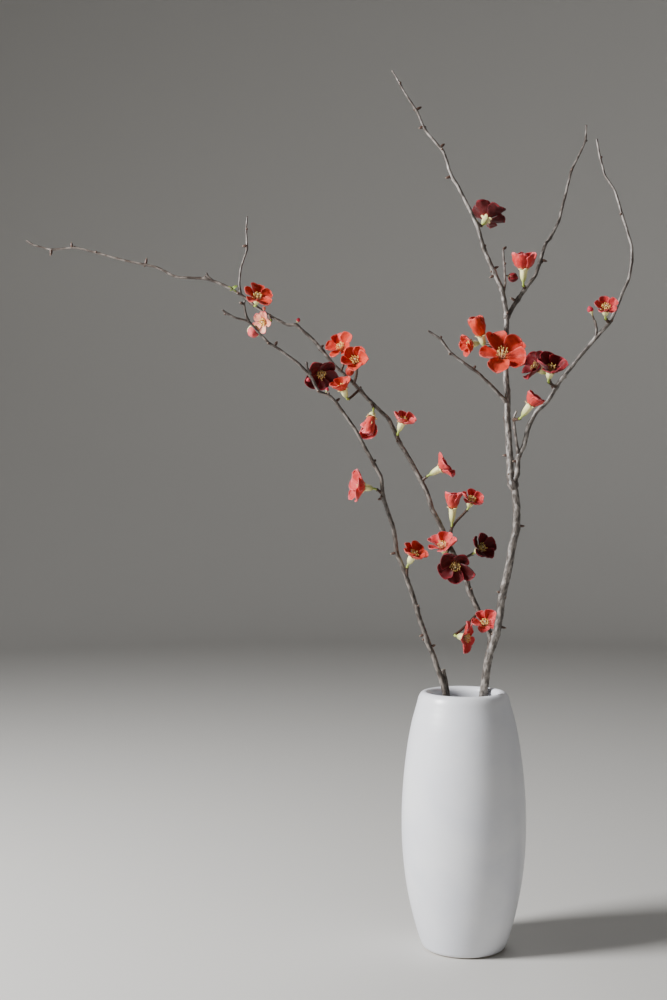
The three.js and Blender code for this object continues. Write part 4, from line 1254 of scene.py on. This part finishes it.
def grained(name, base, washes, scale, detail, relief, rough, **settings):
    """A look with one fine grain. A wash is a colour, a vertex value's name and part or None for the grain,
    and the rest of what Shader.wash takes."""
    shade = Shader(name, base, **settings)
    grain = shade.noise(shade.place(), scale, detail)
    for colour, value, *span in washes:
        shade.wash(colour, shade.attribute(value[0])[value[1]] if value else grain, *span)
    if relief:
        shade.bump(grain, *relief)
    return shade.finish(rough and shade.span(grain, *rough))


def all_looks():
    """The materials of the pieces, by name."""
    looks = {
        "porcelain": porcelain(),
        # Two copies of one bark: the tall branch's is lighter, painted as lit, and the low and high branches'
        # is darker, painted as in shade
        "bark": bark("quince_bark", "1f1a18", "51473f", "8a827b"),
        "lit_bark": bark("lit_bark", "2b2624", "6c645d", "a7a09a"),
        "bud_scale": grained(
            "bud_scales", "33241f", [("64483b", None, 0.3, 0.7), ("9a8876", ("wood", 0), 0.75, 1.0, 0.7)],
            1500, 3, (0.3, 0.12), (0.2, 0.8, 0.35, 0.6), Specular_IOR_Level=0.5,
        ),
        "calyx": calyx(),
        "filament": grained(
            "filaments", "e58f7c", [("f6e7b8", ("cup", 0), 0.0, 0.8), ("f7d9a8", None, 0.4, 0.7, 0.3)],
            900, 2, None, (0.2, 0.8, 0.4, 0.6), Specular_IOR_Level=0.4,
        ),
        "anther": grained(
            "anthers", "e2b23a", [("fbe89a", None, 0.35, 0.65)],
            3800, 2, (0.6, 0.12), (0.2, 0.8, 0.6, 0.9), Specular_IOR_Level=0.3,
        ),
        "leaf": grained(
            "young_leaf", "5f7f2c",
            [
                ("9db34d", None, 0.3, 0.7), ("cbd487", ("blade", 1), 0.22, 0.02, 0.6),
                ("8a4a34", ("blade", 0), 0.7, 1.0, 0.4),
            ],
            700, 3, (0.3, 0.15), (0.3, 0.7, 0.35, 0.5),
            Specular_IOR_Level=0.5, Subsurface_Weight=0.1, Subsurface_Scale=0.8 * MM,
        ),
        "water": grained(
            "clear_water", "e8f2f0", [("f2f8f6", None, 0.2, 0.8)],
            60, 1, (0.05, 0.3), None, Roughness=0.02, IOR=1.333, Transmission_Weight=1.0,
        ),
    }
    for tone, colours in PETAL_TONES.items():
        looks[f"petals_{tone}"] = petals(f"{tone}_petals", *colours)
    return looks


# Studio

def lamp(name, spot, aim, size, power):
    """A round soft lamp."""
    data = bpy.data.lights.new(name, "AREA")
    data.shape = "DISK"
    data.size = size
    data.energy = power
    made = linked(name, data)
    made.location = spot
    made.rotation_euler = (Vector(aim) - Vector(spot)).to_track_quat("-Z", "Y").to_euler()


def camera():
    """The camera, level, at the photograph's eye."""
    data = bpy.data.cameras.new("camera")
    data.sensor_fit = "VERTICAL"
    data.sensor_height = SENSOR
    data.lens = SENSOR * EYE["distance"] / FRAME_HEIGHT
    data.clip_start = NEAREST * MM
    made = linked("camera", data)
    made.location = MM * Vector((EYE["across"], -EYE["distance"], EYE["up"]))
    made.rotation_euler = (pi / 2, 0, 0)
    bpy.context.scene.camera = made


def studio():
    """The floor, the lamps and a faint sky."""
    floor = Shader("pale_floor", "cdcbc7", Roughness=0.7, Specular_IOR_Level=0.2)
    backdrop(floor.finish())
    for each in LAMPS:
        lamp(*each)
    world = bpy.data.worlds.new("studio")
    world.use_nodes = True
    sky = world.node_tree.nodes["Background"].inputs
    sky["Color"].default_value = SKY
    sky["Strength"].default_value = SKY_STRENGTH
    bpy.context.scene.world = world


def main():
    """Builds the whole scene. Its order is the order of the draws."""
    camera()
    looks = all_looks()
    vase_piece(looks)
    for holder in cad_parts["water"].material_slots:
        holder.material = looks["water"]
    lines = {name: wood_pieces(f"branch_{name}", branch, looks) for name, branch in BRANCHES.items()}
    small_growths(lines, looks)
    for side, flowers in BLOOMS.items():
        for i, flower in enumerate(flowers, 1):
            bloom(f"{side}_bloom_{i:02d}", flower, lines[flower.branch], looks)
    for name, flower in CLOSED_BUDS.items():
        closed_bud(name, flower, lines[flower.branch], looks)
    studio()


main()
